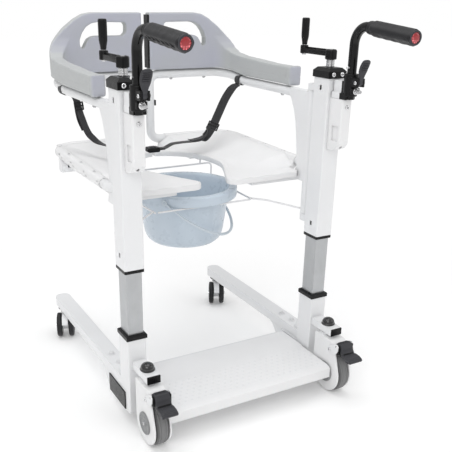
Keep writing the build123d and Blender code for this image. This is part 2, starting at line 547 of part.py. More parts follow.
right_line = [(258, 425, 794), (240, 422, 772), (219, 415, 744), (190, 405, 703), (165, 396, 665), (137, 388, 638), (100, 382, 628), (55, 378, 629), (18, 374, 629), (-4, 372, 618), (-24, 372, 618)]
save("right_belt", strap(right_line, 3))
left_line = [(-259, 425, 786), (-247, 425, 778), (-241, 415, 745), (-236, 405, 711), (-226, 392, 673), (-208, 384, 655), (-192, 380, 645), (-176, 376, 637), (-148, 374, 631), (-114, 372, 627), (-58, 372, 622)]
belt_l = strap(left_line, 3)
belt_l += box(-62, -26, 372 - 15.5, 372 + 15.5, 611, 625) - box(-27.5, -20, 372 - 13, 372 + 13, 614, 622)
save("left_belt", belt_l)

# ---------------------------------------------------------------- toilet pan
pan_face = make_face(Polyline(
    (0, PAN_Z0), (82, PAN_Z0), (95, PAN_Z0 + 4), (105, PAN_Z0 + 13), (111, PAN_Z0 + 27), (114, PAN_Z0 + 42), (126.3, 514), (131, 531), (147.5, 531), (147.5, 511.2), (150, 511.2), (150, 533.5), (148, 536),
    (129, 536), (126.5, 533), (123.5, 514), (111.3, 420), (108.4, 406.5), (103, 394), (94, 385), (81, 380.8), (0, 380.8), close=True))
pan = Pos(0, PAN_Y, 0) * revolve(Plane.XZ * pan_face, Axis.Z)
ca, sa = math.cos(math.radians(BAIL_DIR)), math.sin(math.radians(BAIL_DIR))
for s in (-1, 1):
    p0 = (s * ca * 149, PAN_Y + s * sa * 149, 524)
    p1 = (s * ca * 157, PAN_Y + s * sa * 157, 524)
    pan += rod(3.0, p0, p1)
save("commode_pan", pan)

# bail: half a ring hanging from the two lugs, resting on the pan's side
u = Vector(ca, sa, 0)
drop = math.radians(BAIL_DROP)
w = Vector(-sa * math.cos(drop), ca * math.cos(drop), -math.sin(drop))
c = Vector(0, PAN_Y, 524)
arc = [c + u * (BAIL_R * math.cos(math.pi * i / 12)) + w * (BAIL_REACH * math.sin(math.pi * i / 12)) for i in range(13)]
edge = Edge.make_spline(arc)
bail = sweep(Plane(origin=arc[0], z_dir=edge % 0) * Circle(2.6), path=Wire([edge]))
for s in (-1, 1):
    e0, e1 = c + u * (s * 151.4), c + u * (s * 156.6)
    bail += rod(7.0, e0, e1)
    bail -= rod(3.0 + BORE_CLEAR, c + u * (s * 140), c + u * (s * 170))
bail -= Pos(0, PAN_Y, 0) * (Cylinder(151.2, 1100) - Cylinder(146, 1100)) & box(-200, 200, 50, 480, 505, 545)
save("pan_bail", bail)
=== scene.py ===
import bpy, bmesh, json, math
import numpy as np
from mathutils import Vector, Matrix, noise


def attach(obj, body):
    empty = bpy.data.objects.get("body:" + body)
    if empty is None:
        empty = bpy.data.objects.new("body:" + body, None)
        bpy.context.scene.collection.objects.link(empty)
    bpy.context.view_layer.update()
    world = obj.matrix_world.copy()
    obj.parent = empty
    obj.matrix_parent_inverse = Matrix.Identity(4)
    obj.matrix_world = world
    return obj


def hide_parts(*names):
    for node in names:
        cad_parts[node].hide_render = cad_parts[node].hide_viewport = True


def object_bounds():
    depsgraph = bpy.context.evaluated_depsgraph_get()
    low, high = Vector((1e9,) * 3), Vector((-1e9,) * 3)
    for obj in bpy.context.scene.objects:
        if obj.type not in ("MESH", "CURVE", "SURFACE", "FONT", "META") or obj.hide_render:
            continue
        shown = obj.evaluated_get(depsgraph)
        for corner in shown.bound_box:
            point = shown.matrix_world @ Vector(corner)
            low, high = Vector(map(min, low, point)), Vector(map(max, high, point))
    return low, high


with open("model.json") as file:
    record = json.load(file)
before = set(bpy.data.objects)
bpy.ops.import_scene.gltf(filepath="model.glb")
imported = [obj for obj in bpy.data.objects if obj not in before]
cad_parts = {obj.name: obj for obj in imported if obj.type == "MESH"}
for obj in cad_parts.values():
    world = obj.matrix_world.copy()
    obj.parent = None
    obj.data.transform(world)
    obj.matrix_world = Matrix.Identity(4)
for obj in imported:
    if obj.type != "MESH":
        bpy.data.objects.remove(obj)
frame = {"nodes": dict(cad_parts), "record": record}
CAD_LO, CAD_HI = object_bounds()
CAD_LO, CAD_HI = list(CAD_LO), list(CAD_HI)
scene = bpy.context.scene
coll = scene.collection
FLOOR = -0.098                     # the drawing datum in the row frame
GROUND = -0.090                    # the floor the casters stand on


def P(x, y, z):
    """A point given in mm, with its height from the drawing datum, 8 mm under the floor."""
    return Vector((x / 1000, y / 1000, z / 1000 + FLOOR))


# ------------------------------------------------------------------ materials
def new_mat(name):
    m = bpy.data.materials.new(name)
    m.use_nodes = True
    nt = m.node_tree
    for n in list(nt.nodes):
        nt.nodes.remove(n)
    out = nt.nodes.new("ShaderNodeOutputMaterial")
    b = nt.nodes.new("ShaderNodeBsdfPrincipled")
    nt.links.new(b.outputs[0], out.inputs[0])
    return m, nt, b


def node(nt, kind, **kw):
    n = nt.nodes.new(kind)
    for k, v in kw.items():
        if k.startswith("i_"):
            n.inputs[k[2:].replace("_", " ")].default_value = v
        else:
            setattr(n, k, v)
    return n


def coords(nt, scale=(1, 1, 1), rot=(0, 0, 0)):
    tc = node(nt, "ShaderNodeTexCoord")
    mp = node(nt, "ShaderNodeMapping")
    mp.inputs["Scale"].default_value = scale
    mp.inputs["Rotation"].default_value = rot
    nt.links.new(tc.outputs["Object"], mp.inputs[0])
    return mp.outputs[0]


def noise_tex(nt, vec, scale, detail=3.0, rough=0.5):
    n = node(nt, "ShaderNodeTexNoise")
    n.inputs["Scale"].default_value = scale
    n.inputs["Detail"].default_value = detail
    n.inputs["Roughness"].default_value = rough
    nt.links.new(vec, n.inputs["Vector"])
    return n.outputs["Fac"]


def ramp(nt, fac, a, b, lo=0.0, hi=1.0):
    r = node(nt, "ShaderNodeMapRange")
    r.inputs["From Min"].default_value = lo
    r.inputs["From Max"].default_value = hi
    r.inputs["To Min"].default_value = a
    r.inputs["To Max"].default_value = b
    nt.links.new(fac, r.inputs["Value"])
    return r.outputs["Result"]


def mix(nt, fac, a, b, blend="MIX"):
    m = node(nt, "ShaderNodeMix", data_type="RGBA", blend_type=blend)
    for sock, v in ((m.inputs[0], fac), (m.inputs[6], a), (m.inputs[7], b)):
        if isinstance(v, (int, float)):
            sock.default_value = v
        elif isinstance(v, (tuple, list)):
            sock.default_value = tuple(v) + ((1.0,) if len(v) == 3 else ())
        else:
            nt.links.new(v, sock)
    return m.outputs[2]


def bump(nt, height, strength, dist, normal=None):
    b = node(nt, "ShaderNodeBump")
    b.inputs["Strength"].default_value = strength
    b.inputs["Distance"].default_value = dist
    nt.links.new(height, b.inputs["Height"])
    if normal is not None:
        nt.links.new(normal, b.inputs["Normal"])
    return b.outputs[0]


def painted_crevice_shade(nt, dist=0.012, dark=0.8):
    """Painted shade for the base colour: 1 on open surface, falling to dark in tight corners, from ambient occlusion.
    """
    ao = node(nt, "ShaderNodeAmbientOcclusion", samples=6)
    ao.inputs["Distance"].default_value = dist
    return ramp(nt, ao.outputs["AO"], dark, 1.0, 0.25, 0.95)


def edge_mask(nt, radius=0.0012, gain=4.0):
    """Bright along worn edges, from the difference between rounded and true normals."""
    bv = node(nt, "ShaderNodeBevel", samples=4)
    bv.inputs["Radius"].default_value = radius
    geo = node(nt, "ShaderNodeNewGeometry")
    dot = node(nt, "ShaderNodeVectorMath", operation="DOT_PRODUCT")
    nt.links.new(bv.outputs[0], dot.inputs[0])
    nt.links.new(geo.outputs["Normal"], dot.inputs[1])
    return ramp(nt, dot.outputs["Value"], 1.0, 0.0, 0.90, 0.995), bv.outputs[0]


def powder(name, color, rough=0.36, peel=0.10, coat=0.25, tint=0.03, wear=0.5, dark=0.82, spec=0.5):
    m, nt, b = new_mat(name)
    v = coords(nt)
    big = noise_tex(nt, v, 7.0, 4)
    col = mix(nt, ramp(nt, big, 0.0, 1.0, 0.35, 0.65), tuple(c * (1 - tint) for c in color), color)
    em, bn = edge_mask(nt)
    scuff = noise_tex(nt, v, 160.0, 6, 0.65)
    wearmask = node(nt, "ShaderNodeMath", operation="MULTIPLY")
    nt.links.new(em, wearmask.inputs[0])
    nt.links.new(ramp(nt, scuff, 0.0, wear, 0.5, 0.72), wearmask.inputs[1])
    col = mix(nt, wearmask.outputs[0], col, tuple(min(1.0, c * 0.86) for c in color))
    # painted shade: ambient occlusion darkens the powder colour in corners and gaps
    ao = painted_crevice_shade(nt, 0.014, dark)
    col = mix(nt, 1.0, col, ao, "MULTIPLY")
    nt.links.new(col, b.inputs["Base Color"])
    nt.links.new(ramp(nt, noise_tex(nt, v, 45.0, 4), rough - 0.05, rough + 0.07, 0.3, 0.7), b.inputs["Roughness"])
    fine = noise_tex(nt, v, 620.0, 2)
    nt.links.new(bump(nt, fine, peel, 0.0006, bn), b.inputs["Normal"])
    b.inputs["Coat Weight"].default_value = coat
    b.inputs["Coat Roughness"].default_value = 0.22
    b.inputs["Specular IOR Level"].default_value = spec
    return m


def plastic(name, color, rough=0.45, grain=0.25, scale=900.0, dark=0.8, vary=0.05, coat=0.0, sss=0.0, wear=0.0, spec=0.5):
    m, nt, b = new_mat(name)
    b.inputs["Specular IOR Level"].default_value = spec
    v = coords(nt)
    big = noise_tex(nt, v, 11.0, 5)
    col = mix(nt, ramp(nt, big, 0.0, 1.0, 0.3, 0.7), tuple(c * (1 - vary) for c in color), tuple(min(1, c * (1 + vary * 0.5)) for c in color))
    em, bn = edge_mask(nt, 0.0009)
    if wear:
        sc = noise_tex(nt, v, 220.0, 6, 0.7)
        mm = node(nt, "ShaderNodeMath", operation="MULTIPLY")
        nt.links.new(em, mm.inputs[0])
        nt.links.new(ramp(nt, sc, 0.0, wear, 0.48, 0.7), mm.inputs[1])
        col = mix(nt, mm.outputs[0], col, tuple(min(1, c * 2.6 + 0.03) for c in color))
    # painted shade: ambient occlusion darkens the plastic colour in corners and gaps
    col = mix(nt, 1.0, col, painted_crevice_shade(nt, 0.01, dark), "MULTIPLY")
    nt.links.new(col, b.inputs["Base Color"])
    nt.links.new(ramp(nt, noise_tex(nt, v, 60.0, 5), rough - 0.06, rough + 0.08, 0.3, 0.7), b.inputs["Roughness"])
    vor = node(nt, "ShaderNodeTexVoronoi", feature="SMOOTH_F1")
    vor.inputs["Scale"].default_value = scale
    nt.links.new(v, vor.inputs["Vector"])
    nt.links.new(bump(nt, vor.outputs["Distance"], grain, 0.0005, bn), b.inputs["Normal"])
    b.inputs["Coat Weight"].default_value = coat
    b.inputs["Coat Roughness"].default_value = 0.15
    if sss:
        b.inputs["Subsurface Weight"].default_value = sss
        b.inputs["Subsurface Radius"].default_value = (0.004, 0.004, 0.004)
        b.inputs["Subsurface Scale"].default_value = 1.0
    return m


def metal(name, color, rough=0.22, brush=None, strength=0.12, vary=0.08, dark=0.75):
    """brush: stretch of the grain in (x, y, z); None is plain polished or turned metal."""
    m, nt, b = new_mat(name)
    b.inputs["Metallic"].default_value = 1.0
    v = coords(nt)
    smudge = noise_tex(nt, v, 30.0, 5)
    col = mix(nt, ramp(nt, smudge, 0.0, 1.0, 0.3, 0.7), tuple(c * (1 - vary) for c in color), color)
    # painted shade: ambient occlusion darkens the metal colour in corners and gaps
    col = mix(nt, 1.0, col, painted_crevice_shade(nt, 0.006, dark), "MULTIPLY")
    nt.links.new(col, b.inputs["Base Color"])
    if brush:
        g = noise_tex(nt, coords(nt, brush), 1.0, 5, 0.7)
        lo, hi = rough - 0.08, rough + 0.12
    else:
        g = noise_tex(nt, v, 900.0, 3)
        lo, hi = rough - 0.03, rough + 0.05
    nt.links.new(ramp(nt, g, lo, hi, 0.3, 0.7), b.inputs["Roughness"])
    em, bn = edge_mask(nt, 0.0006)
    nt.links.new(bump(nt, g, strength, 0.0002, bn), b.inputs["Normal"])
    return m


def pad_foam(name, side, face):
    """Integral-skin foam: a fine leather grain, a little bluer on the faces that look forward."""
    m, nt, b = new_mat(name)
    v = coords(nt)
    geo = node(nt, "ShaderNodeNewGeometry")
    sx = node(nt, "ShaderNodeSeparateXYZ")
    nt.links.new(geo.outputs["Normal"], sx.inputs[0])
    col = mix(nt, ramp(nt, sx.outputs["Y"], 1.0, 0.0, -0.95, -0.45), side, face)
    big = noise_tex(nt, v, 9.0, 5)
    col = mix(nt, ramp(nt, big, 0.0, 0.5, 0.35, 0.7), col, tuple(c * 0.93 for c in side))
    # painted shade: ambient occlusion darkens the foam colour in creases and corners
    col = mix(nt, 1.0, col, painted_crevice_shade(nt, 0.02, 0.78), "MULTIPLY")
    nt.links.new(col, b.inputs["Base Color"])
    nt.links.new(ramp(nt, noise_tex(nt, v, 70.0, 4), 0.44, 0.58, 0.3, 0.7), b.inputs["Roughness"])
    vor = node(nt, "ShaderNodeTexVoronoi", feature="DISTANCE_TO_EDGE")
    vor.inputs["Scale"].default_value = 430.0
    wob = noise_tex(nt, v, 260.0, 3)
    add = node(nt, "ShaderNodeVectorMath", operation="SCALE")
    nt.links.new(v, add.inputs[0])
    nt.links.new(ramp(nt, wob, 0.997, 1.003), add.inputs["Scale"])
    nt.links.new(add.outputs[0], vor.inputs["Vector"])
    nt.links.new(bump(nt, ramp(nt, vor.outputs["Distance"], 0.0, 1.0, 0.0, 0.25), 0.28, 0.0005), b.inputs["Normal"])
    b.inputs["Sheen Weight"].default_value = 0.08
    return m


def webbing(name, color):
    m, nt, b = new_mat(name)
    uv = node(nt, "ShaderNodeUVMap")
    mp = node(nt, "ShaderNodeMapping")
    nt.links.new(uv.outputs[0], mp.inputs[0])

    def wave(direction, scale, prof="SIN"):
        w = node(nt, "ShaderNodeTexWave", wave_type="BANDS", bands_direction=direction, wave_profile=prof)
        w.inputs["Scale"].default_value = scale
        w.inputs["Distortion"].default_value = 0.35
        w.inputs["Detail"].default_value = 1.0
        nt.links.new(mp.outputs[0], w.inputs["Vector"])
        return w.outputs["Fac"]
    weft, warp = wave("X", 190.0), wave("Y", 95.0)
    mul = node(nt, "ShaderNodeMath", operation="ADD")
    nt.links.new(weft, mul.inputs[0]); nt.links.new(warp, mul.inputs[1])
    fuzz = noise_tex(nt, coords(nt), 1500.0, 2)
    col = mix(nt, ramp(nt, mul.outputs[0], 0.0, 1.0, 0.4, 1.8), tuple(c * 0.45 for c in color), tuple(c * 1.7 for c in color))
    col = mix(nt, ramp(nt, fuzz, 0.0, 0.35, 0.45, 0.8), col, tuple(c * 2.4 for c in color))
    nt.links.new(col, b.inputs["Base Color"])
    b.inputs["Roughness"].default_value = 0.78
    b.inputs["Sheen Weight"].default_value = 0.25
    b.inputs["Sheen Roughness"].default_value = 0.4
    nt.links.new(bump(nt, mul.outputs[0], 0.55, 0.0006), b.inputs["Normal"])
    return m


def reflector(name):
    m, nt, b = new_mat(name)
    v = coords(nt)
    vor = node(nt, "ShaderNodeTexVoronoi", feature="DISTANCE_TO_EDGE")
    vor.inputs["Scale"].default_value = 190.0
    vor.inputs["Randomness"].default_value = 0.0
    nt.links.new(v, vor.inputs["Vector"])
    f = ramp(nt, vor.outputs["Distance"], 0.0, 1.0, 0.10, 0.34)
    nt.links.new(mix(nt, f, (0.28, 0.003, 0.008), (0.98, 0.22, 0.25)), b.inputs["Base Color"])
    # painted glow: the red cells emit light of their own, standing in for the reflector catching the light
    nt.links.new(mix(nt, f, (0.10, 0.0, 0.002), (1.0, 0.20, 0.22)), b.inputs["Emission Color"])
    b.inputs["Emission Strength"].default_value = 0.45
    b.inputs["Roughness"].default_value = 0.12
    b.inputs["Coat Weight"].default_value = 1.0
    b.inputs["Coat Roughness"].default_value = 0.03
    nt.links.new(bump(nt, f, 0.6, 0.0008), b.inputs["Normal"])
    return m


MAT = {
    "white": powder("powder_white", (0.83, 0.835, 0.845)),
    "wire": powder("powder_wire", (0.85, 0.85, 0.86), rough=0.3, peel=0.05),
    "white_plastic": plastic("moulded_white", (0.84, 0.84, 0.845), 0.42, 0.16, 700.0, coat=0.08, sss=0.05, vary=0.02, dark=0.82),
    "pad": pad_foam("pad_grey", (0.475, 0.490, 0.492), (0.455, 0.465, 0.535)),
    "black": plastic("moulded_black", (0.005, 0.005, 0.0055), 0.30, 0.16, 1100.0, vary=0.2, wear=0.12, coat=0.02, spec=0.25),
    "charcoal": plastic("moulded_charcoal", (0.042, 0.042, 0.048), 0.42, 0.3, 900.0, vary=0.15, wear=0.2, spec=0.35),
    "rubber": plastic("grip_rubber", (0.016, 0.016, 0.018), 0.40, 0.35, 1300.0, vary=0.25, spec=0.32),
    "black_steel": powder("powder_black", (0.003, 0.003, 0.0033), rough=0.16, peel=0.05, coat=0.12, wear=0.0, dark=0.7, spec=0.28),
    "mast": metal("brushed_mast", (0.50, 0.51, 0.52), 0.36, (900.0, 900.0, 6.0), 0.25),
    "chrome": metal("chrome", (0.80, 0.80, 0.81), 0.10),
    "steel": metal("turned_steel", (0.60, 0.60, 0.61), 0.25, (40.0, 40.0, 1500.0), 0.2),
    "natural": plastic("natural_nylon", (0.70, 0.68, 0.60), 0.5, 0.2),
    "tyre": plastic("tyre_grey", (0.115, 0.116, 0.118), 0.55, 0.4, 1100.0, vary=0.15),
    "tyre_light": plastic("tyre_tread", (0.20, 0.20, 0.202), 0.58, 0.45, 1000.0, vary=0.12),
    "hub": plastic("hub_grey", (0.27, 0.275, 0.28), 0.48, 0.3, 900.0, vary=0.06),
    "pan": plastic("pan_blue", (0.565, 0.645, 0.725), 0.30, 0.05, 500.0, vary=0.015, coat=0.2, dark=0.8),
    "bail": plastic("bail_blue", (0.60, 0.67, 0.73), 0.34, 0.05, 700.0, vary=0.02, coat=0.15),
    "web": webbing("webbing", (0.020, 0.020, 0.022)),
    "reflector": reflector("reflector_red"),
    "webstitch": plastic("stitch_thread", (0.10, 0.10, 0.105), 0.7, 0.2),
    "gloss_black": plastic("gloss_black", (0.010, 0.010, 0.011), 0.12, 0.03, 500.0, vary=0.1, coat=0.6, dark=0.7),
}

SLOT_MAT = {
    "white_frame": "white", "white_plastic": "white_plastic", "grey_pad": "pad", "black_plastic": "black", "black_steel": "black_steel",
    "grip_rubber": "rubber", "silver_mast": "mast", "chrome": "chrome", "steel": "steel", "nut_plastic": "natural", "tyre_grey": "tyre",
    "hub_grey": "hub", "pan_blue": "pan", "bail_blue": "bail", "webbing": "web", "cradle_wire": "wire",
}
for sp in frame["record"]["subparts"]:
    o = frame["nodes"][sp["node"]]
    o.data.materials.clear()
    o.data.materials.append(MAT[SLOT_MAT[sp["material_slot"]]])

# a fine rounded edge on every carried-over piece
for n, o in frame["nodes"].items():
    w = o.modifiers.new("weld", "WELD")
    w.merge_threshold = 1e-6
    bv = o.modifiers.new("edge", "BEVEL")
    bv.width = 0.0007
    bv.segments = 2
    bv.limit_method = "ANGLE"
    bv.angle_limit = math.radians(38)
    bv.use_clamp_overlap = True
    bv.harden_normals = False
    wn = o.modifiers.new("normals", "WEIGHTED_NORMAL")
    wn.keep_sharp = False

# ------------------------------------------------------------- piece building
class Shape:
    """A mesh put together from simple solids, in mm with heights from the datum."""

    def __init__(self):
        self.v, self.f, self.m, self.uv = [], [], [], []
        self.mats = []

    def slot(self, mat):
        if mat not in self.mats:
            self.mats.append(mat)
        return self.mats.index(mat)

    def add(self, verts, faces, mat, uv=None):
        k, n = self.slot(mat), len(self.v)
        self.v += [Vector(v) for v in verts]
        for i, f in enumerate(faces):
            self.f.append([n + j for j in f])
            self.m.append(k)
            self.uv.append(uv[i] if uv else [(0, 0)] * len(f))
        return self

    def obj(self, name, body, replaces=(), flip=False, flat=40.0):
        me = bpy.data.meshes.new(name)
        vs = [P(-v.x if flip else v.x, v.y, v.z) for v in self.v]
        fs = [f[::-1] for f in self.f] if flip else self.f
        me.from_pydata(vs, [], fs)
        for m in self.mats:
            me.materials.append(MAT[m])
        for p, k in zip(me.polygons, self.m):
            p.material_index = k
            p.use_smooth = True
        layer = me.uv_layers.new(name="UVMap")
        for p, u in zip(me.polygons, self.uv):
            u = u[::-1] if flip else u
            for li, w in zip(p.loop_indices, u):
                layer.data[li].uv = w
        me.update()
        try:
            me.set_sharp_from_angle(angle=math.radians(flat))
        except AttributeError:
            pass
        o = bpy.data.objects.new(name, me)
        coll.objects.link(o)
        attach(o, body)
        if replaces:
            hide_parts(*replaces)
        return o


def axes_from(z, hint=(0, 0, 1)):
    z = Vector(z).normalized()
    h = Vector(hint)
    if abs(z.dot(h.normalized())) > 0.98:
        h = Vector((0, 1, 0)) if abs(z.y) < 0.9 else Vector((1, 0, 0))
    x = h.cross(z).normalized()
    return x, z.cross(x), z


def lathe(sh, profile, mat, origin=(0, 0, 0), axis=(0, 0, 1), seg=48, mod=None, hint=(0, 1, 0), mats=None):
    """Turned shape: profile is (radius, height) along the axis; mod(angle, i) scales the radius."""
    ax, ay, az = axes_from(axis, hint)
    o = Vector(origin)
    rings, verts, faces, fm = [], [], [], []
    for i, (r, h) in enumerate(profile):
        if r < 1e-6:
            rings.append([len(verts)])
            verts.append(o + az * h)
        else:
            ring = []
            for k in range(seg):
                a = 2 * math.pi * k / seg
                rr = r * (mod(a, i) if mod else 1.0)
                ring.append(len(verts))
                verts.append(o + ax * (rr * math.cos(a)) + ay * (rr * math.sin(a)) + az * h)
            rings.append(ring)
    for i in range(len(rings) - 1):
        p, q = rings[i], rings[i + 1]
        if len(p) == 1 and len(q) == 1:
            continue
        for k in range(seg):
            k2 = (k + 1) % seg
            if len(p) == 1:
                f = [p[0], q[k2], q[k]]
            elif len(q) == 1:
                f = [p[k], p[k2], q[0]]
            else:
                f = [p[k], p[k2], q[k2], q[k]]
            faces.append(f)
            fm.append(mats[i] if mats else mat)
    for name in dict.fromkeys(fm):
        idx = [i for i, m in enumerate(fm) if m == name]
        used = sorted({j for i in idx for j in faces[i]})
        remap = {j: n for n, j in enumerate(used)}
        sh.add([verts[j] for j in used], [[remap[j] for j in faces[i]] for i in idx], name)
    return sh


def spline(points, n=8):
    """Catmull-Rom line through the points."""
    p = [Vector(q) for q in points]
    p = [p[0] * 2 - p[1]] + p + [p[-1] * 2 - p[-2]]
    out = []
    for i in range(1, len(p) - 2):
        for k in range(n):
            t = k / n
            a, b, c, d = p[i - 1], p[i], p[i + 1], p[i + 2]
            out.append(0.5 * ((2 * b) + (c - a) * t + (2 * a - 5 * b + 4 * c - d) * t * t + (3 * b - a - 3 * c + d) * t ** 3))
    out.append(p[-2])
    return out


def sweep(sh, path, section, mat, wide=None, closed=False, caps=True, scale=None, uv=False):
    """Carry a closed section (u, v) along a path. wide gives the u direction at each point."""
    path = [Vector(p) for p in path]
    n, m = len(path), len(section)
    tang = []
    for i in range(n):
        a = path[(i - 1) % n if closed else max(i - 1, 0)]
        b = path[(i + 1) % n if closed else min(i + 1, n - 1)]
        tang.append((b - a).normalized())
    verts, u = [], None
    length, run = [0.0], 0.0
    for i in range(n):
        t = tang[i]
        if wide is not None:
            w = wide(i / max(n - 1, 1)) if callable(wide) else Vector(wide)
            u = (w - t * w.dot(t)).normalized()
        elif u is None:
            u = axes_from(t)[0]
        else:
            u = (u - t * u.dot(t)).normalized()
        v = t.cross(u)
        s = scale(i / max(n - 1, 1)) if scale else 1.0
        su, sv = s if isinstance(s, tuple) else (s, s)
        verts += [path[i] + u * (a * su) + v * (b * sv) for a, b in section]
        if i:
            run += (path[i] - path[i - 1]).length
            length.append(run)
    per = [0.0]
    for k in range(m):
        a, b = section[k], section[(k + 1) % m]
        per.append(per[-1] + math.hypot(b[0] - a[0], b[1] - a[1]))
    faces, uvs = [], []
    for i in range(n if closed else n - 1):
        j = (i + 1) % n
        lj = length[j] if j else run
        for k in range(m):
            k2 = (k + 1) % m
            faces.append([i * m + k, i * m + k2, j * m + k2, j * m + k])
            uvs.append([(length[i] / 1000, per[k] / 1000), (length[i] / 1000, per[k + 1] / 1000), (lj / 1000, per[k + 1] / 1000), (lj / 1000, per[k] / 1000)])
    if caps and not closed:
        faces.append(list(range(m))[::-1])
        faces.append([(n - 1) * m + k for k in range(m)])
        uvs += [[(a / 1000, b / 1000) for a, b in section][::-1], [(a / 1000, b / 1000) for a, b in section]]
    sh.add(verts, faces, mat, uvs if uv else None)
    return sh


def ring_section(r, n=16):
    return [(r * math.cos(2 * math.pi * k / n), r * math.sin(2 * math.pi * k / n)) for k in range(n)]


def band_section(w, t, n=10):
    """Flat section w wide and t thick with rounded long edges."""
    pts = []
    for s, c in ((1, w / 2 - t / 2), (-1, -w / 2 + t / 2)):
        for k in range(7):
            a = math.radians(-90 + 30 * k) if s > 0 else math.radians(90 + 30 * k)
            pts.append((c + t / 2 * math.cos(a), t / 2 * math.sin(a)))
        cols = [c + (-s) * (w - t) * k / n for k in range(1, n)]
        pts += [(x, s * t / 2) for x in cols]
    return pts


def rbox(sh, lo, hi, mat, r=1.5, seg=3, rot=None, centre=None):
    """Box with rounded edges; rot is a matrix about its centre."""
    bm = bmesh.new()
    bmesh.ops.create_cube(bm, size=1.0)
    d = [hi[i] - lo[i] for i in range(3)]
    c = Vector([(hi[i] + lo[i]) / 2 for i in range(3)])
    bmesh.ops.scale(bm, vec=d, verts=bm.verts)
    if r > 0:
        bmesh.ops.bevel(bm, geom=list(bm.edges), offset=min(r, min(d) * 0.49), segments=seg, affect="EDGES", profile=0.5)
    vs = [Vector(v.co) for v in bm.verts]
    bm.verts.index_update()
    fs = [[v.index for v in f.verts] for f in bm.faces]
    bm.free()
    if rot is not None:
        vs = [rot @ v for v in vs]
    sh.add([v + (Vector(centre) if centre is not None else c) for v in vs], fs, mat)
    return sh


def prism(sh, outline, a, b, mat, axis="x", r=1.5, seg=3):
    """Outline in the other two axes, pushed along the axis from a to b, edges rounded."""
    def at(p, q, w):
        return {"x": (w, p, q), "y": (p, w, q), "z": (p, q, w)}[axis]
    bm = bmesh.new()
    lo = [bm.verts.new(at(p, q, a)) for p, q in outline]
    hi = [bm.verts.new(at(p, q, b)) for p, q in outline]
    n = len(outline)
    bm.faces.new(lo)
    bm.faces.new(hi[::-1])
    for i in range(n):
        j = (i + 1) % n
        bm.faces.new([lo[j], lo[i], hi[i], hi[j]])
    bmesh.ops.recalc_face_normals(bm, faces=list(bm.faces))
    if r > 0:
        bmesh.ops.bevel(bm, geom=list(bm.edges), offset=r, segments=seg, affect="EDGES", profile=0.5, clamp_overlap=True)
    bm.verts.index_update()
    vs = [Vector(v.co) for v in bm.verts]
    fs = [[v.index for v in f.verts] for f in bm.faces]
    bm.free()
    sh.add(vs, fs, mat)
    return sh


def button(sh, at, axis, r, h, mat, hexa=0.0, seg=24, hint=(0, 0, 1)):
    """Low domed head, with a hexagon recess when hexa is its radius."""
    prof = [(r, 0), (r, h * 0.35), (r * 0.93, h * 0.7), (r * 0.7, h * 0.95)]
    if hexa:
        prof += [(hexa, h), (hexa, h * 0.35), (0, h * 0.35)]
        lathe(sh, prof[:4] + [(hexa * 1.05, h)], mat, at, axis, seg, hint=hint)
        lathe(sh, [(hexa * 1.05, h), (hexa, h * 0.3), (0, h * 0.3)], mat, at, axis, seg, hint=hint,
              mod=lambda a, i: (1.0 if i == 0 else math.cos(math.pi / 6) / math.cos((a % (math.pi / 3)) - math.pi / 6)))
    else:
        lathe(sh, prof + [(r * 0.35, h * 1.02), (0, h * 1.03)], mat, at, axis, seg, hint=hint)
    return sh


def hexhead(sh, at, axis, r, h, mat, hint=(0, 0, 1), washer=0.0):
    if washer:
        lathe(sh, [(washer, 0), (washer, 1.0), (washer - 0.5, 1.4), (r * 0.8, 1.4)], mat, at, axis, 32, hint=hint)
        at = Vector(at) + Vector(axis).normalized() * 1.4
    m = lambda a, i: math.cos(math.pi / 6) / math.cos((a % (math.pi / 3)) - math.pi / 6) if i < 3 else 1.0
    lathe(sh, [(r, 0), (r, h * 0.5), (r, h * 0.85), (r * 0.86, h), (0, h)], mat, at, axis, 48, mod=m, hint=hint)
    return sh


def soften(name, nodes, body, mat, voxel, passes, work=None, groups=None):
    """A moulded piece: the CAD solid resurfaced at an even grain, its edges rounded off, then worked by work(co, no)."""
    bm = bmesh.new()
    for n in nodes:
        bm.from_mesh(frame["nodes"][n].data)
    bmesh.ops.remove_doubles(bm, verts=bm.verts, dist=2e-6)
    me = bpy.data.meshes.new(name)
    bm.to_mesh(me)
    bm.free()
    o = bpy.data.objects.new(name, me)
    coll.objects.link(o)
    rm = o.modifiers.new("grain", "REMESH")
    rm.mode = "VOXEL"
    rm.voxel_size = voxel
    sm = o.modifiers.new("round", "SMOOTH")
    sm.factor = 0.5
    sm.iterations = passes
    dg = bpy.context.evaluated_depsgraph_get()
    new = bpy.data.meshes.new_from_object(o.evaluated_get(dg))
    o.modifiers.clear()
    o.data = new
    new.name = name
    new.materials.clear()
    for k in ([mat] if isinstance(mat, str) else mat):
        new.materials.append(MAT[k])
    n = len(new.vertices)
    co = np.empty(n * 3)
    new.vertices.foreach_get("co", co)
    co = co.reshape(-1, 3)
    if work is not None:
        no = np.empty(n * 3)
        new.vertices.foreach_get("normal", no)
        no = no.reshape(-1, 3)
        mm = co * 1000
        mm[:, 2] -= FLOOR * 1000
        d = work(mm, no)
        co = co + d / 1000
        new.vertices.foreach_set("co", co.ravel())
    if groups is not None:
        fc = np.empty(len(new.polygons) * 3)
        new.polygons.foreach_get("center", fc)
        fc = fc.reshape(-1, 3) * 1000
        fc[:, 2] -= FLOOR * 1000
        fn = np.empty(len(new.polygons) * 3)
        new.polygons.foreach_get("normal", fn)
        new.polygons.foreach_set("material_index", groups(fc, fn.reshape(-1, 3)).astype(np.int32))
    new.polygons.foreach_set("use_smooth", np.ones(len(new.polygons), bool))
    new.update()
    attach(o, body)
    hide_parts(*nodes)
    return o


SIDES = (("right", 1), ("left", -1))


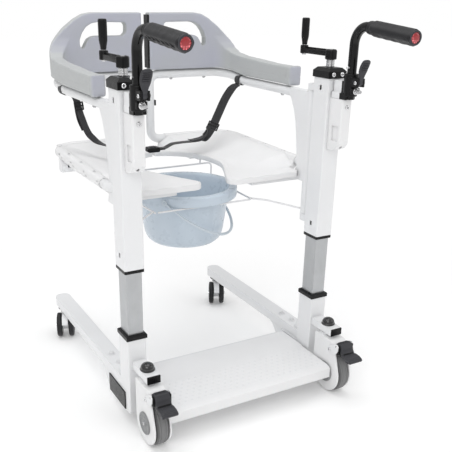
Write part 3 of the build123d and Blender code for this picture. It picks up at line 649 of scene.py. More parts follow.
# -------------------------------------------------------------- moulded pads
def pad_work(mm, no):
    d = np.zeros_like(mm)
    ax = np.abs(mm[:, 0])
    # the arm flares a little at its free end
    t = np.clip((176 - mm[:, 1]) / 22, 0, 1)
    t = t * t * (3 - 2 * t) * (1 - np.clip((150 - mm[:, 1]) / 4, 0, 1) * 0.4)
    d[:, 0] += no[:, 0] * 2.4 * t
    d[:, 2] += no[:, 2] * 1.6 * t
    # shallow hollow across the front of the backrest
    h = np.clip(1 - ((ax - 120) / 100) ** 2, 0, 1) * np.clip(1 - ((mm[:, 2] - 880) / 70) ** 2, 0, 1) * (no[:, 1] < -0.7)
    d[:, 1] += 2.0 * h
    # seam line along the underside edge
    s = np.exp(-((mm[:, 2] - 826) / 1.6) ** 2) * (np.abs(no[:, 2]) < 0.5)
    return d - no * (0.55 * s)[:, None]


for side, g in SIDES:
    soften(side + "_pad_foam", [side + "_pad"], side + "_half", "pad", 0.0024, 9, pad_work)

# ------------------------------------------------------------- seat mouldings
OPENING = [(254, 80), (246, 73), (120, 69), (66, 67), (52, 70), (42, 80), (40, 92), (46, 108), (66, 149), (88, 192), (105, 230), (111, 244), (117, 272), (118, 300), (116, 340), (108, 376), (92, 406), (70, 430), (45, 449), (20, 460), (4, 463)]


def line_distance(px, py, line):
    best = np.full(len(px), 1e9)
    for (x0, y0), (x1, y1) in zip(line[:-1], line[1:]):
        dx, dy = x1 - x0, y1 - y0
        t = np.clip(((px - x0) * dx + (py - y0) * dy) / (dx * dx + dy * dy), 0, 1)
        best = np.minimum(best, np.hypot(px - x0 - t * dx, py - y0 - t * dy))
    return best


def seat_work(mm, no):
    ax = np.abs(mm[:, 0])
    e = line_distance(ax, mm[:, 1], OPENING)
    top = (no[:, 2] > 0.6) & (mm[:, 2] < 594)
    groove = np.exp(-((e - 13.0) / 2.2) ** 2) * top
    lip = np.clip((10.5 - e) / 10.5, 0, 1) ** 2 * top
    d = -no * (1.2 * groove)[:, None] - np.array([0, 0, 1.4]) * lip[:, None]
    # the top sweeps up from the opening to meet the rim over the tube
    rimz = 604.5 + (mm[:, 1] - 100) * 0.0212 + 14.5
    s = np.minimum(np.where(mm[:, 1] > 118, 284 - ax, 400), np.where(ax > 40, 524 - mm[:, 1], 400))
    t = np.clip(1 - (s - 6) / 150.0, 0, 1)
    t = t * t * (3 - 2 * t) * np.clip((mm[:, 1] - 112) / 60, 0, 1) * np.clip((ax - 22) / 50, 0, 1) * np.clip(e / 45, 0, 1)
    want = 590 + (rimz - 3.0 - 590) * t
    up = (no[:, 2] > -0.25) & (mm[:, 2] > 588.0) & (s > 2)
    rise = np.where(up, np.maximum(want - mm[:, 2], 0), 0)
    d[:, 2] += rise
    return d


for side, g in SIDES:
    soften(side + "_seat_moulding", [side + "_seat"], side + "_half", "white_plastic", 0.0021, 4, seat_work)

# ---------------------------------------------------------------- belt halves
STRAP = band_section(25.0, 1.9, 6)


def lerp3(a, b, t):
    t = max(0.0, min(1.0, t))
    t = t * t * (3 - 2 * t)
    return Vector(a) * (1 - t) + Vector(b) * t


def tube_loop(sh, centre, r, width_dir, mat="web"):
    path = [(centre[0] + r * math.cos(a), centre[1], centre[2] + r * math.sin(a)) for a in [2 * math.pi * k / 32 for k in range(32)]]
    sweep(sh, path, STRAP, mat, wide=width_dir, closed=True, uv=True)


def triglide(sh, at, along, wide, mat="black"):
    z = Vector(along).normalized()
    x = (Vector(wide) - z * Vector(wide).dot(z)).normalized()
    y = z.cross(x)
    rot = Matrix((x, y, z)).transposed()
    c = Vector(at)
    for dz in (-9.5, 0, 9.5):
        rbox(sh, (-16.5, -1.7, -2), (16.5, 1.7, 2), mat, 1.2, 2, rot, c + z * dz + y * (0.9 if dz else 2.2))
    for dx in (-15, 15):
        rbox(sh, (-2, -1.9, -11), (2, 1.9, 11), mat, 1.2, 2, rot, c + x * dx + y * 0.9)


rb = Shape()
right_line = [(265, 425, 777), (252, 424, 773), (238, 420, 764), (219, 415, 744), (204, 410, 724), (190, 405, 703), (177, 400, 684), (165, 396, 665), (151, 392, 650), (137, 388, 638), (120, 385, 631), (100, 382, 628.5), (78, 380, 628.5), (55, 378, 629),
              (35, 376, 629), (18, 374, 628), (6, 373, 624), (-4, 372, 620), (-16, 372, 618)]
sweep(rb, spline(right_line, 6), STRAP, "web", uv=True, wide=lambda t: lerp3((0.87, -0.49, 0.1), (0.08, 1, 0), (t - 0.42) / 0.25))
tail = [(164, 397, 668), (152, 395, 655.5), (138, 391, 643), (122, 388, 635.5), (101, 385, 632.5), (88, 383, 631.5), (80, 382.5, 632.5)]
sweep(rb, spline(tail, 5), STRAP, "web", uv=True, wide=lambda t: lerp3((0.87, -0.49, 0.1), (0.08, 1, 0), (t - 0.0) / 0.5))
triglide(rb, (165, 396, 665), (-25, -8, -37), (0.87, -0.49, 0.1))
tube_loop(rb, (274, 425, 790), 14.0, (0, 1, 0))
# stitched box where the strap turns back on itself
for k in range(14):
    for q in (-9.0, 9.0):
        t = 0.06 + k * 0.006
        c = Vector((233, 419, 757)).lerp(Vector((219, 415, 743)), k / 13)
        w = Vector((0.87, -0.49, 0.1)).normalized()
        n_ = w.cross(Vector((-19, -5, -20)).normalized())
        rbox(rb, (-0.5, -0.35, -0.5), (0.5, 0.35, 0.5), "webstitch", 0.2, 1, None, c + w * q + n_ * 1.15)
        rbox(rb, (-0.5, -0.35, -0.5), (0.5, 0.35, 0.5), "webstitch", 0.2, 1, None, c + w * q - n_ * 1.15)
# tongue of the buckle
rbox(rb, (-27, 361, 615.5), (-9, 383, 620.5), "black", 1.4, 2)
rb.obj("right_belt_strap", "right_half", ["right_belt"])

lb = Shape()
left_line = [(-262, 425, 779), (-254, 424, 777), (-247, 421, 768), (-243, 417, 752), (-240, 411, 729), (-236, 405, 711), (-231, 398, 690), (-224, 391, 672), (-214, 386, 660), (-203, 383, 651), (-190, 380, 644), (-176, 376, 637.5), (-162, 375, 633.5),
             (-148, 374, 631), (-131, 373, 628.5), (-114, 372, 627), (-92, 372, 625), (-72, 372, 622), (-56, 372, 620)]
sweep(lb, spline(left_line, 6), STRAP, "web", uv=True, wide=lambda t: lerp3((0.87, 0.49, 0.1), (-0.08, 1, 0), (t - 0.42) / 0.25))
tail = [(-243, 419, 744), (-242, 414, 725), (-240, 408, 708), (-236, 401, 693), (-233, 398, 684)]
sweep(lb, spline(tail, 5), STRAP, "web", uv=True, wide=(0.87, 0.49, 0.1))
triglide(lb, (-241, 415, 745), (2, -8, -37), (0.87, 0.49, 0.1))
tube_loop(lb, (-274, 425, 790), 14.0, (0, 1, 0))
rbox(lb, (-62, 356.5, 611), (-26, 387.5, 625), "black", 4.0, 4)
rbox(lb, (-55, 364, 624), (-36, 380, 626.6), "charcoal", 1.6, 3)
for k in range(4):
    rbox(lb, (-53 + k * 4, 366, 626), (-51.4 + k * 4, 378, 627.3), "charcoal", 0.5, 1)
rbox(lb, (-66, 358, 614), (-60, 386, 622), "black", 2.0, 2)
lb.obj("left_belt_strap", "left_half", ["left_belt"])

# ---------------------------------------------------------------- push handles
SX, SY = 277.0, -82.0
HZ = 969.0
TILT = math.radians(2.0)


def hp(d, z):
    return Vector((SX - d * math.sin(TILT), SY - d * math.cos(TILT), z))


A_, B_ = hp(0, HZ), hp(196, HZ - 18)
HAX = (B_ - A_).normalized()
for side, g in SIDES:
    sh = Shape()
    na, nt_ = 72, 110
    x, y, z = axes_from(HAX, (0, 0, 1))
    verts, faces = [], []
    for i in range(nt_ + 1):
        d = 54 + 149.5 * i / nt_
        t = i / nt_
        if t < 0.085:
            base, oval = 14.6 + (0.5 if t > 0.02 else -0.6), 0.0
        elif t < 0.115:
            k = (t - 0.085) / 0.03
            base, oval = 15.1 + 1.5 * k, k
        elif t > 0.985:
            base, oval = 17.0 - 40 * (t - 0.985) * 2.0, 0.7
        else:
            base, oval = 16.6 + 0.5 * t, 1.0
        for k in range(na):
            a = 2 * math.pi * k / na
            r = base * (1 + oval * (0.075 * math.cos(4 * a) + 0.035 * math.cos(2 * a)))
            if 0.17 < t < 0.93:
                w = (t - 0.17) / 0.76 * 6
                cell = abs((w % 1) - 0.5) < 0.36
                for c0 in (math.radians(-26),):
                    da = abs((a - c0 + math.pi) % (2 * math.pi) - math.pi)
                    if cell and da < math.radians(13):
                        r -= 2.4 * min(1.0, (math.radians(13) - da) / 0.05) * min(1.0, (0.36 - abs((w % 1) - 0.5)) / 0.05)
                up_ = math.sin(a)
                if up_ > 0.80:
                    r += 0.18 * math.sin(t * math.pi * 76) * min(1.0, (up_ - 0.80) / 0.1)
                if up_ < -0.55:
                    r += 0.35 * math.sin(t * math.pi * 11.0) * min(1.0, (-up_ - 0.55) / 0.3)
            verts.append(A_ + HAX * d + x * (r * math.cos(a)) + y * (r * math.sin(a)))
    for i in range(nt_):
        for k in range(na):
            k2 = (k + 1) % na
            faces.append([i * na + k, i * na + k2, (i + 1) * na + k2, (i + 1) * na + k])
    sh.add(verts, faces, "rubber")
    lathe(sh, [(11.2, 54), (14.4, 54)], "rubber", A_, HAX, 72, hint=(0, 0, 1))
    lathe(sh, [(16.2, 203.4), (15.6, 205.0), (12.6, 205.6), (11.4, 204.6), (11.2, 203.2)], "charcoal", A_, HAX, 64, hint=(0, 0, 1))
    lathe(sh, [(11.3, 203.4), (10.6, 204.4), (8.0, 205.2), (4.0, 205.6), (0, 205.7)], "reflector", A_, HAX, 48, hint=(0, 0, 1))
    sh.obj(side + "_grip_sleeve", side + "_push_handle", [side + "_push_grip"], flip=g < 0, flat=50)

    # spring button through the stem
    sh = Shape()
    lathe(sh, [(3.6, 9.5), (3.6, 14.0), (3.2, 15.4), (1.8, 16.4), (0, 16.7)], "chrome", (SX, SY, 872), (-1 * g, 0.0, 0), 24)
    sh2 = Shape()
    sh.obj(side + "_stem_button", side + "_push_handle", flip=g < 0)

    # clamp and its spoon lever
    soften(side + "_clamp_body", [side + "_handle_clamp"], side + "_column", ["black", "white"], 0.0010, 3,
           groups=lambda c, n: ((c[:, 1] > -63.5) & (c[:, 2] < 841)).astype(int))

    sh = Shape()
    lathe(sh, [(0, -5.2), (6.2, -5.2), (7.2, -4.4), (7.2, 4.4), (6.2, 5.2), (0, 5.2)], "charcoal", (SX, -113, 840), (1, 0, 0), 40)
    lathe(sh, [(3.0, -13), (3.0, 13)], "steel", (SX, -113, 840), (1, 0, 0), 24)
    for e in (-1, 1):
        button(sh, (SX + e * 12.6, -113, 840), (e, 0, 0), 4.4, 2.0, "chrome", 1.8)
    spoon = spline([(SX, -114.5, 841), (SX, -117.5, 850), (SX, -119.5, 860), (SX, -123, 872), (SX, -128.5, 884), (SX, -133, 893)], 9)
    prof = [(0.0, 0.40, 1.35), (0.18, 0.42, 1.2), (0.36, 0.66, 1.0), (0.52, 0.92, 0.85), (0.70, 1.0, 0.8), (0.84, 0.97, 0.8), (0.93, 0.84, 0.78), (0.98, 0.62, 0.7), (1.0, 0.38, 0.55)]

    def spoon_scale(t, prof=prof):
        for (a, wa, ta), (b_, wb, tb) in zip(prof[:-1], prof[1:]):
            if t <= b_:
                q = (t - a) / (b_ - a)
                return wa + (wb - wa) * q, ta + (tb - ta) * q
        return prof[-1][1:]
    sweep(sh, spoon, band_section(27.0, 5.4, 8), "charcoal", wide=(1, 0, 0), scale=spoon_scale)
    for k in range(5):
        zc = 868 + k * 4.2
        yc = -122 - (zc - 868) * 0.44
        rbox(sh, (SX - 8.5, yc - 3.4, zc - 0.8), (SX + 8.5, yc - 1.6, zc + 0.8), "charcoal", 0.6, 2)
    sh.obj(side + "_lever_spoon", side + "_release_lever", [side + "_clamp_lever"], flip=g < 0, flat=45)

    sh = Shape()
    for s in (-1, 1):
        button(sh, (275 + s * 13, -33.0, 851), (0, -1, 0), 5.6, 3.6, "chrome", 2.6)
    button(sh, (275, -78.0, 778), (0, -1, 0), 5.4, 3.4, "chrome", 2.6)
    lathe(sh, [(8, 0), (8, 1.4), (7.4, 1.9), (4, 1.9)], "chrome", (SX, -102.0, 819), (0, -1, 0), 32)
    hexhead(sh, (SX, -103.9, 819), (0, -1, 0), 6.9, 6.0, "chrome")
    lathe(sh, [(4.0, 6)] + [(4.0 - (0.45 if k % 2 else 0), 6 + k * 0.6) for k in range(1, 17)] + [(3.2, 16.6), (0, 16.8)], "steel", (SX, -103.9, 819), (0, -1, 0), 24)
    sh.obj(side + "_column_screws", side + "_column", [side + "_column_fasteners"], flip=g < 0)

# -------------------------------------------------------------- cranks, knobs
for side, g in SIDES:
    sh = Shape()
    fl = lambda a, i: 1.0 - 0.055 * (0.5 + 0.5 * math.cos(12 * a)) if 5 <= i <= 11 else 1.0
    lathe(sh, [(3.9, 912.2), (6.4, 912.2), (6.9, 913.0), (7.0, 917), (7.6, 921), (8.9, 927), (9.7, 932), (9.95, 940), (10.0, 950), (10.0, 960), (10.0, 970), (9.9, 973.5), (9.2, 975.6), (7.6, 976.8), (0, 977)],
          "black", (275, 112, 0), (0, 0, 1), 96, mod=fl)
    sh.obj(side + "_knob_sleeve", side + "_knob", [side + "_crank_knob"], flip=g < 0, flat=60)

    sh = Shape()
    lathe(sh, [(6.3, 884.2), (13.0, 884.2), (14.3, 885.2), (14.5, 887), (14.5, 903.5), (14.0, 905.6), (12.2, 907.6), (9.4, 908.0), (8.8, 907.2), (8.5, 905.2), (0, 905.0)], "black", (275, 0, 0), (0, 0, 1), 64,
          mod=lambda a, i: 1.0 + (0.035 * math.cos(6 * a) if 1 <= i <= 6 else 0))
    prism(sh, [(267, 4), (283, 4), (282, 60), (281.6, 110), (279.5, 116), (270.5, 116), (268.4, 110), (268, 60)], 891.2, 904, "black", "z", 2.0, 3)
    prism(sh, [(272.4, 8), (277.6, 8), (277.2, 104), (272.8, 104)], 903.4, 907.6, "black", "z", 1.6, 3)
    lathe(sh, [(0, 890.6), (9.4, 890.6), (10.2, 891.6), (10.3, 893), (10.3, 908), (9.6, 910.4), (8.4, 911), (4.2, 911)], "black", (275, 112, 0), (0, 0, 1), 48)
    lathe(sh, [(3.9, 910.5), (5.6, 911.0), (5.6, 912.0), (4.0, 912.1)], "chrome", (275, 112, 0), (0, 0, 1), 32)
    hexhead(sh, (275, 112, 890.6), (0, 0, -1), 5.6, 3.6, "chrome", hint=(1, 0, 0))
    hexhead(sh, (275, 0, 905.0), (0, 0, 1), 5.4, 3.0, "steel", hint=(1, 0, 0))
    sh.obj(side + "_crank_lever", side + "_crank_arm", [side + "_crank"], flip=g < 0, flat=45)

    sh = Shape()
    prof = [(9.0, 866.1), (10.2, 866.1)]
    for k in range(5):
        z0 = 866.5 + k * 3.4
        prof += [(10.4, z0), (10.4, z0 + 2.3), (9.3, z0 + 2.6), (9.3, z0 + 3.1)]
    prof += [(10.2, 883.6), (9.4, 884.0), (6.0, 884.0)]
    lathe(sh, prof, "chrome", (275, 0, 0), (0, 0, 1), 64)
    sh.obj(side + "_screw_collar", side + "_screw", flip=g < 0, flat=30)

# ------------------------------------------------------------- front casters
CX, CY, AY, AZ = 272.0, -83.0, -114.0, 66.0
for side, g in SIDES:
    sh = Shape()
    prof, mats = [], []
    pts = [(42.3, -15.2, "tyre"), (45, -15.8, "tyre"), (54, -16, "tyre"), (58.6, -15.2, "tyre"), (61.0, -13.2, "tyre"), (62.1, -10.6, "tyre_light"), (62.4, -7.0, "tyre_light"), (61.6, -6.3, "tyre_light"), (61.6, -5.6, "tyre_light"), (62.5, -4.9, "tyre_light"),
           (62.5, 4.9, "tyre_light"), (61.6, 5.6, "tyre_light"), (61.6, 6.3, "tyre_light"), (62.4, 7.0, "tyre_light"), (62.1, 10.6, "tyre"), (61.0, 13.2, "tyre"), (58.6, 15.2, "tyre"), (54, 16, "tyre"), (45, 15.8, "tyre"), (42.3, 15.2, "tyre")]
    lathe(sh, [(r - 4.5 if r > 50 else r - 3.0, x) for r, x, _ in pts], "tyre", (CX, AY, AZ), (1, 0, 0), 120, mats=[m for *_, m in pts])
    for s in (-1, 1):
        lathe(sh, [(39.4, 15.0), (38.4, 14.4), (37.6, 13.0), (35.0, 12.2), (20.0, 11.8), (17.5, 14.5), (9.0, 15.6), (6.2, 15.6)] if s > 0 else
              [(6.2, -15.6), (9.0, -15.6), (17.5, -14.5), (20.0, -11.8), (35.0, -12.2), (37.6, -13.0), (38.4, -14.4), (39.4, -15.0)], "hub", (CX, AY, AZ), (1, 0, 0), 96)
        for k in range(6):
            a = 2 * math.pi * k / 6
            rot = Matrix.Rotation(a, 3, "X")
            rbox(sh, (-1.6, -2.0, -9.5), (1.6, 2.0, 9.5), "hub", 1.0, 2, rot, (CX + s * 12.6, AY - 27.5 * math.sin(a), AZ + 27.5 * math.cos(a)))
    sh.obj(side + "_front_tyre", side + "_caster_wheel", [side + "_front_wheel"], flip=g < 0, flat=35)

    soften(side + "_fork_housing", [side + "_front_fork"], "base", "white_plastic", 0.0014, 5)
    # hub caps and dome bolt heads on the fork
    sh = Shape()
    for s in (-1, 1):
        ax = (s, 0, 0)
        o = (CX, AY, AZ)
        lathe(sh, [(29.0, 23.02), (29.0, 25.4), (28.2, 26.8), (26.4, 27.3), (24.8, 26.8), (23.8, 25.6), (21.0, 25.2), (10.5, 25.5), (9.6, 26.6), (8.4, 27.2), (0, 27.2)], "hub", o, ax, 80)
        button(sh, (CX + s * 27.1, AY, AZ), ax, 4.6, 2.0, "steel", 2.0)
        for k in range(5):
            a = 2 * math.pi * k / 5 + 0.3
            lathe(sh, [(2.1, 25.2), (2.1, 25.9), (1.4, 26.3), (0, 26.3)], "hub", (CX, AY + 16.5 * math.cos(a), AZ + 16.5 * math.sin(a)), ax, 16)
    for s in (-1, 1):
        lathe(sh, [(9.0, 16.3), (9.0, 17.9)], "steel", (CX, AY, AZ), (s, 0, 0), 32)
    lathe(sh, [(6.0, -24), (6.0, 24)], "steel", (CX, AY, AZ), (1, 0, 0), 32)
    sh.obj(side + "_hub_caps", "base", [side + "_front_axle"], flip=g < 0, flat=35)

    # brake pedal
    sh = Shape()
    prism(sh, [(-147, 166), (-160, 169.5), (-165, 168), (-168, 163), (-172.5, 157.5), (-174, 152), (-178, 146.5), (-180, 141), (-172, 139), (-164, 146), (-158, 156), (-147, 158)],
          CX - 19.0, CX + 19.0, "charcoal", "x", 1.6, 3)
    prism(sh, [(-176.5, 143.2), (-186, 145.0), (-200, 144.2), (-209, 141.0), (-213, 137.0), (-210, 131.5), (-200, 129.5), (-186, 131.5), (-176, 134.5), (-170, 138)],
          CX - 20.5, CX + 20.5, "charcoal", "x", 2.2, 3)
    prism(sh, [(-167.5, 152), (-178, 147), (-181, 142), (-176, 132), (-156, 134), (-152, 146)], CX - 17.5, CX + 17.5, "black", "x", 1.2, 2)
    for k in range(6):
        y0 = -186.5 - k * 4.0
        rbox(sh, (CX - 16, y0 - 1.0, 142.0 - k * 0.45), (CX + 16, y0 + 1.0, 145.6 - k * 0.5), "charcoal", 0.7, 2)
    for k in range(4):
        yy = -150.5 - k * 4.6
        if k < 3:
            rbox(sh, (CX - 15.5, yy - 0.9, 166.5 + k * 0.9), (CX + 15.5, yy + 0.9, 168.9 + k * 1.0), "charcoal", 0.6, 2)
    for s in (-1, 1):
        prism(sh, [(-120.5, 142), (-124, 150.5), (-133, 156), (-148, 165.5), (-158, 168), (-164, 163), (-163, 150), (-155, 136), (-146, 131), (-130, 133.2), (-122.5, 137)],
              *sorted((CX + s * 23.5, CX + s * 26.4)), "white", "x", 1.0, 2)
        button(sh, (CX + s * 26.3, -129, 142), (s, 0, 0), 5.2, 2.6, "chrome", 2.2)
        button(sh, (CX + s * 26.3, -156, 162), (s, 0, 0), 3.4, 1.8, "chrome", 1.5)
        rbox(sh, tuple(min(a, b) for a, b in zip((CX + s * 19, -166, 140), (CX + s * 24, -154, 164))), tuple(max(a, b) for a, b in zip((CX + s * 19, -166, 140), (CX + s * 24, -154, 164))), "black", 1.2, 2)
    for s in (-9, 0, 9):
        rbox(sh, (CX + s - 3, -157, 128.6), (CX + s + 3, -146, 136), "chrome", 1.0, 2)
    sh.obj(side + "_brake_pedal", side + "_pedal", [side + "_front_pedal"], flip=g < 0, flat=40)

    # swivel race under the arm, and the dome on top
    sh = Shape()
    lathe(sh, [(8, 165.2), (20.0, 165.2), (21.6, 166.2), (21.6, 168.0), (19.4, 168.8), (19.4, 169.6), (20.4, 170.4), (20.4, 172.4), (8, 172.6)], "white", (CX, CY, 0), (0, 0, 1), 64)
    sh.obj(side + "_swivel_race", "base", flip=g < 0, flat=35)

sh = Shape()
for s in (-1, 1):
    lathe(sh, [(12, 193.6), (18.0, 193.6), (18.6, 194.3), (18.4, 196.6), (17.2, 197.6), (16.9, 200.5), (15.6, 204.6), (12.8, 208.2), (8.6, 210.6), (4.0, 211.7), (0, 212.0)], "gloss_black", (s * CX, CY, 0), (0, 0, 1), 72)
    lathe(sh, [(3.4, 211.5), (3.4, 212.4), (2.6, 212.8), (0, 212.8)], "gloss_black", (s * CX, CY, 0), (0, 0, 1), 24)
sh.obj("dome_caps", "base", ["caster_pin_caps"], flat=35)

# -------------------------------------------------------------- rear casters
for side, g, turn in (("left", -1, 21.0), ("right", 1, 27.0)):
    rotm = Matrix.Rotation(math.radians(-turn), 3, "Z")
    o = Vector((g * 278.0, 561.0, 0))
    axd = rotm @ Vector((1, 0, 0))
    c = o + rotm @ Vector((0, -28, 46))
    sh = Shape()
    for s in (-1, 1):
        ax = axd * s
        lathe(sh, [(9, 10.0), (32, 10.0), (35.6, 10.6), (37.4, 12.2), (38.0, 14.6), (38.0, 21.4), (37.2, 23.8), (35.4, 25.4), (32.4, 25.9), (30.0, 25.2), (29.0, 24.0)], "black", c, ax, 96,
              mats=["black", "rubber", "rubber", "rubber", "rubber", "rubber", "rubber", "rubber", "black", "black", "black"])
        lathe(sh, [(29.0, 24.0), (27.6, 24.0), (25.0, 22.6), (14.0, 22.2), (12.0, 23.6), (10.6, 25.6), (8.0, 26.0), (5.2, 26.0)], "charcoal", c, ax, 80)
        for k in range(5):
            a = 2 * math.pi * k / 5 + 0.4
            yy, zz = rotm @ Vector((0, 1, 0)), Vector((0, 0, 1))
            cc = c + ax * 23.2 + yy * (19.5 * math.cos(a)) + zz * (19.5 * math.sin(a))
            d_ = (yy * math.cos(a) + zz * math.sin(a))
            sweep(sh, [cc - d_ * 6.5, cc + d_ * 6.5], [(-1.4, -1.0), (1.4, -1.0), (1.0, 1.0), (-1.0, 1.0)], "charcoal", wide=d_.cross(ax))
    sh.obj(side + "_twin_wheels", side + "_rear_wheel_pair", [side + "_rear_wheels"], flat=35)
    sh = Shape()
    for s in (-1, 1):
        hexhead(sh, c + axd * (s * 26.2), axd * s, 5.4, 3.6, "chrome")
    lathe(sh, [(8, 90.6), (20, 90.6), (21.4, 91.6), (21.4, 94.2), (18, 96.6), (8, 96.8)], "black", o, (0, 0, 1), 56)
    sh.obj(side + "_horn_trim", side + "_rear_swivel", flat=35)

# ---------------------------------------------------------------- pan and bail
pc = (0.0, 265.0, 0.0)
sh = Shape()
prof = [(0, 380.8), (40, 380.9), (78, 381.2), (91, 383.8), (101, 391.0), (107.2, 402), (111.3, 420), (117.4, 467), (123.5, 514), (126.6, 531.5), (127.8, 534.6), (130, 536.4), (133, 537.0), (144, 537.0), (147.6, 536.4), (149.6, 534.6), (150.3, 532.0),
        (150.2, 514.0), (149.8, 511.8), (148.8, 511.2), (147.9, 512.0), (147.6, 528.0), (146.6, 530.6), (144.0, 531.4), (135.0, 531.4), (132.2, 530.6), (130.6, 528.2), (126.3, 514), (120.2, 467), (114.2, 421), (111.2, 405.5), (105.2, 391.2), (95.5, 382.2), (86.0, 378.4), (80, 378.0),
        (78, 379.6), (60, 379.8), (0, 379.9)]
lathe(sh, prof, "pan", pc, (0, 0, 1), 144)
BD = math.radians(-135.4)
bu = Vector((math.cos(BD), math.sin(BD), 0))
for s in (-1, 1):
    lathe(sh, [(11.5, 147.5), (11.5, 150.6), (10.8, 151.4), (4.6, 151.6), (3.0, 152.0), (3.0, 156.4), (2.4, 157.4), (0, 157.6)], "pan", (0, 265, 524), bu * s, 48, hint=(0, 0, 1))
# twenty-four radial stiffening ribs under the rim
for k in range(24):
    a = 2 * math.pi * k / 24
    d_ = Vector((math.cos(a), math.sin(a), 0))
    sweep(sh, [Vector(pc) + d_ * 131.5 + Vector((0, 0, 529.8)), Vector(pc) + d_ * 146.5 + Vector((0, 0, 529.8))], [(-0.8, -2.6), (0.8, -2.6), (0.8, 1.8), (-0.8, 1.8)], "pan", wide=Vector((-d_.y, d_.x, 0)))
sh.obj("pan_shell", "pan", ["commode_pan"], flat=40)

sh = Shape()
drop = math.radians(38.8)
bw = Vector((-math.sin(BD) * math.cos(drop), math.cos(BD) * math.cos(drop), -math.sin(drop)))
bc = Vector((0, 265, 524))
arc = [bc + bu * (154 * math.cos(math.pi * i / 12)) + bw * (176 * math.sin(math.pi * i / 12)) for i in range(13)]
bn = bu.cross(bw).normalized()
sweep(sh, spline(arc, 8), [(-2.9, -2.2), (-2.2, -3.1), (2.2, -3.1), (2.9, -2.2), (2.9, 2.2), (2.2, 3.1), (-2.2, 3.1), (-2.9, 2.2)], "bail", wide=lambda t: bn,
      scale=lambda t: 0.78 + 0.26 * max(0.0, min(1.0, (min(t, 1 - t) - 0.11) / 0.10)))
for s in (-1, 1):
    lathe(sh, [(3.2, 151.8), (6.4, 151.8), (7.2, 152.6), (7.2, 155.6), (6.4, 156.4), (3.2, 156.4)], "bail", (0, 265, 524), bu * s, 40, hint=(0, 0, 1))
sh.obj("pan_bail_strip", "bail", ["pan_bail"], flat=40)

# -------------------------------------------------- screws, bolts and treads
for side, g in SIDES:
    sh = Shape()
    for x, y, z in ((273, 197, 777.4), (88, 524, 793.4), (200, 524, 793.4)):
        lathe(sh, [(5.4, 0), (5.4, 1.0), (4.8, 1.6), (3.4, 2.0)], "steel", (x, y, z), (0, 0, -1), 24, hint=(1, 0, 0))
        hexhead(sh, (x, y, z - 1.6), (0, 0, -1), 3.6, 2.4, "steel", hint=(1, 0, 0))
    sh.obj(side + "_pad_screws", side + "_half", flip=g < 0, flat=35)

sh = Shape()
for iy in range(7):
    for ix in range(-13, 14):
        x = ix * 18.5 + (9.25 if iy % 2 else 0)
        if abs(x) > 238:
            continue
        y = -24 - iy * 15.0
        z = 95.52 - 0.5 * (-(y + 12)) / 112
        lathe(sh, [(3.4, -0.3), (3.0, 0.25), (1.9, 0.6), (0, 0.72)], "white", (x, y, z), (0, 0, 1), 12)
sh.obj("tread_bumps", "base", flat=60)

sh = Shape()
for s in (-1, 1):
    for y in (94.0, 147.0):
        hexhead(sh, (s * 277.5, y, 125.02), (0, 0, 1), 6.6, 6.0, "white", hint=(1, 0, 0), washer=9.0)
        lathe(sh, [(3.2, 7.4), (3.2, 9.0), (2.6, 9.6), (0, 9.6)], "white", (s * 277.5, y, 125.02), (0, 0, 1), 20)
sh.obj("leg_bolts", "base", ["frame_bolts"], flat=35)


# --------------------------------------------------------------------- stage
def floor():
    me = bpy.data.meshes.new("floor")
    s = 14.0
    me.from_pydata([(-s, -s, GROUND), (s, -s, GROUND), (s, s, GROUND), (-s, s, GROUND)], [], [(0, 1, 2, 3)])
    o = bpy.data.objects.new("floor", me)
    coll.objects.link(o)
    m, nt, b = new_mat("floor")
    v = coords(nt)
    nt.links.new(mix(nt, ramp(nt, noise_tex(nt, v, 2.0, 2), 0, 1, 0.3, 0.7), (0.90, 0.90, 0.90), (0.93, 0.93, 0.93)), b.inputs["Base Color"])
    b.inputs["Roughness"].default_value = 0.7
    b.inputs["Specular IOR Level"].default_value = 0.2
    b.inputs["Emission Color"].default_value = (1, 1, 1, 1)
    b.inputs["Emission Strength"].default_value = 0.13
    # the sheet runs out into plain white, as a paper sweep does
    out = [n for n in nt.nodes if n.type == "OUTPUT_MATERIAL"][0]
    em = node(nt, "ShaderNodeEmission")
    em.inputs["Strength"].default_value = 1.02
    vl = node(nt, "ShaderNodeVectorMath", operation="LENGTH")
    nt.links.new(v, vl.inputs[0])
    far = ramp(nt, vl.outputs["Value"], 0.0, 1.0, 0.75, 1.45)
    lp = node(nt, "ShaderNodeLightPath")
    mul = node(nt, "ShaderNodeMath", operation="MULTIPLY")
    nt.links.new(far, mul.inputs[0])
    nt.links.new(lp.outputs["Is Camera Ray"], mul.inputs[1])
    ms = node(nt, "ShaderNodeMixShader")
    nt.links.new(mul.outputs[0], ms.inputs[0])
    nt.links.new(b.outputs[0], ms.inputs[1])
    nt.links.new(em.outputs[0], ms.inputs[2])
    nt.links.new(ms.outputs[0], out.inputs["Surface"])
    me.materials.append(m)


floor()
world = bpy.data.worlds.new("studio")
scene.world = world
world.use_nodes = True
wnt = world.node_tree
bg = wnt.nodes["Background"]
tcw = wnt.nodes.new("ShaderNodeTexCoord")
sep = wnt.nodes.new("ShaderNodeSeparateXYZ")
wnt.links.new(tcw.outputs["Generated"], sep.inputs[0])
mr = wnt.nodes.new("ShaderNodeMapRange")
mr.inputs["From Min"].default_value = -0.1
mr.inputs["From Max"].default_value = 0.7
mr.inputs["To Min"].default_value = 0.86
mr.inputs["To Max"].default_value = 1.04
wnt.links.new(sep.outputs["Z"], mr.inputs["Value"])
comb = wnt.nodes.new("ShaderNodeCombineColor")
for i in range(3):
    wnt.links.new(mr.outputs["Result"], comb.inputs[i])
wnt.links.new(comb.outputs[0], bg.inputs["Color"])
bg.inputs["Strength"].default_value = 0.68
seen = wnt.nodes.new("ShaderNodeBackground")
seen.inputs["Color"].default_value = (1, 1, 1, 1)
seen.inputs["Strength"].default_value = 1.0
lp = wnt.nodes.new("ShaderNodeLightPath")
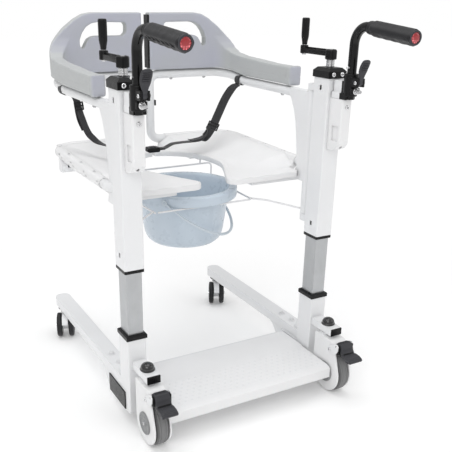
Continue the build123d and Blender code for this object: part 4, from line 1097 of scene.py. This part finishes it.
pick = wnt.nodes.new("ShaderNodeMixShader")
wnt.links.new(lp.outputs["Is Camera Ray"], pick.inputs[0])
wnt.links.new(bg.outputs[0], pick.inputs[1])
wnt.links.new(seen.outputs[0], pick.inputs[2])
wout = [n for n in wnt.nodes if n.type == "OUTPUT_WORLD"][0]
wnt.links.new(pick.outputs[0], wout.inputs["Surface"])


def area(name, loc, target, size, power, color=(1, 1, 1)):
    l = bpy.data.lights.new(name, "AREA")
    l.shape = "RECTANGLE"
    l.size, l.size_y = size
    l.energy = power
    l.color = color
    o = bpy.data.objects.new(name, l)
    coll.objects.link(o)
    o.location = loc
    o.rotation_mode = "QUATERNION"
    o.rotation_quaternion = (Vector(target) - Vector(loc)).to_track_quat("-Z", "Y")


area("key", (-1.9, -2.1, 2.7), (0, 0.1, 0.4), (1.8, 1.8), 30)
area("fill", (2.6, -1.4, 1.8), (0, 0.1, 0.4), (2.0, 2.0), 9)
area("top", (-0.3, 0.4, 3.2), (0, 0.2, 0.3), (2.4, 2.4), 30)

# -------------------------------------------------------------------- camera
yaw, pitch, roll = (math.radians(a) for a in (29.039, 22.913, 0.823))
fw = Vector((math.sin(yaw) * math.cos(pitch), math.cos(yaw) * math.cos(pitch), -math.sin(pitch)))
rt = Vector((math.cos(yaw), -math.sin(yaw), 0))
up = rt.cross(fw)
cr, sr = math.cos(roll), math.sin(roll)
r2 = rt * cr + up * sr
u2 = up * cr - rt * sr
cam_data = bpy.data.cameras.new("camera")
cam = bpy.data.objects.new("camera", cam_data)
coll.objects.link(cam)
cam.matrix_world = Matrix((
    (r2.x, u2.x, -fw.x, -0.8393), (r2.y, u2.y, -fw.y, -1.4129), (r2.z, u2.z, -fw.z, 1.0331 + FLOOR), (0, 0, 0, 1)))
cam_data.sensor_width = 36.0
cam_data.lens = 684.91 * 36.0 / 452.0
cam_data.shift_x = 15.17 / 452.0
cam_data.shift_y = 55.77 / 452.0
cam_data.clip_start, cam_data.clip_end = 0.02, 60
scene.camera = cam
scene.view_settings.view_transform = "Standard"
scene.view_settings.look = "None"
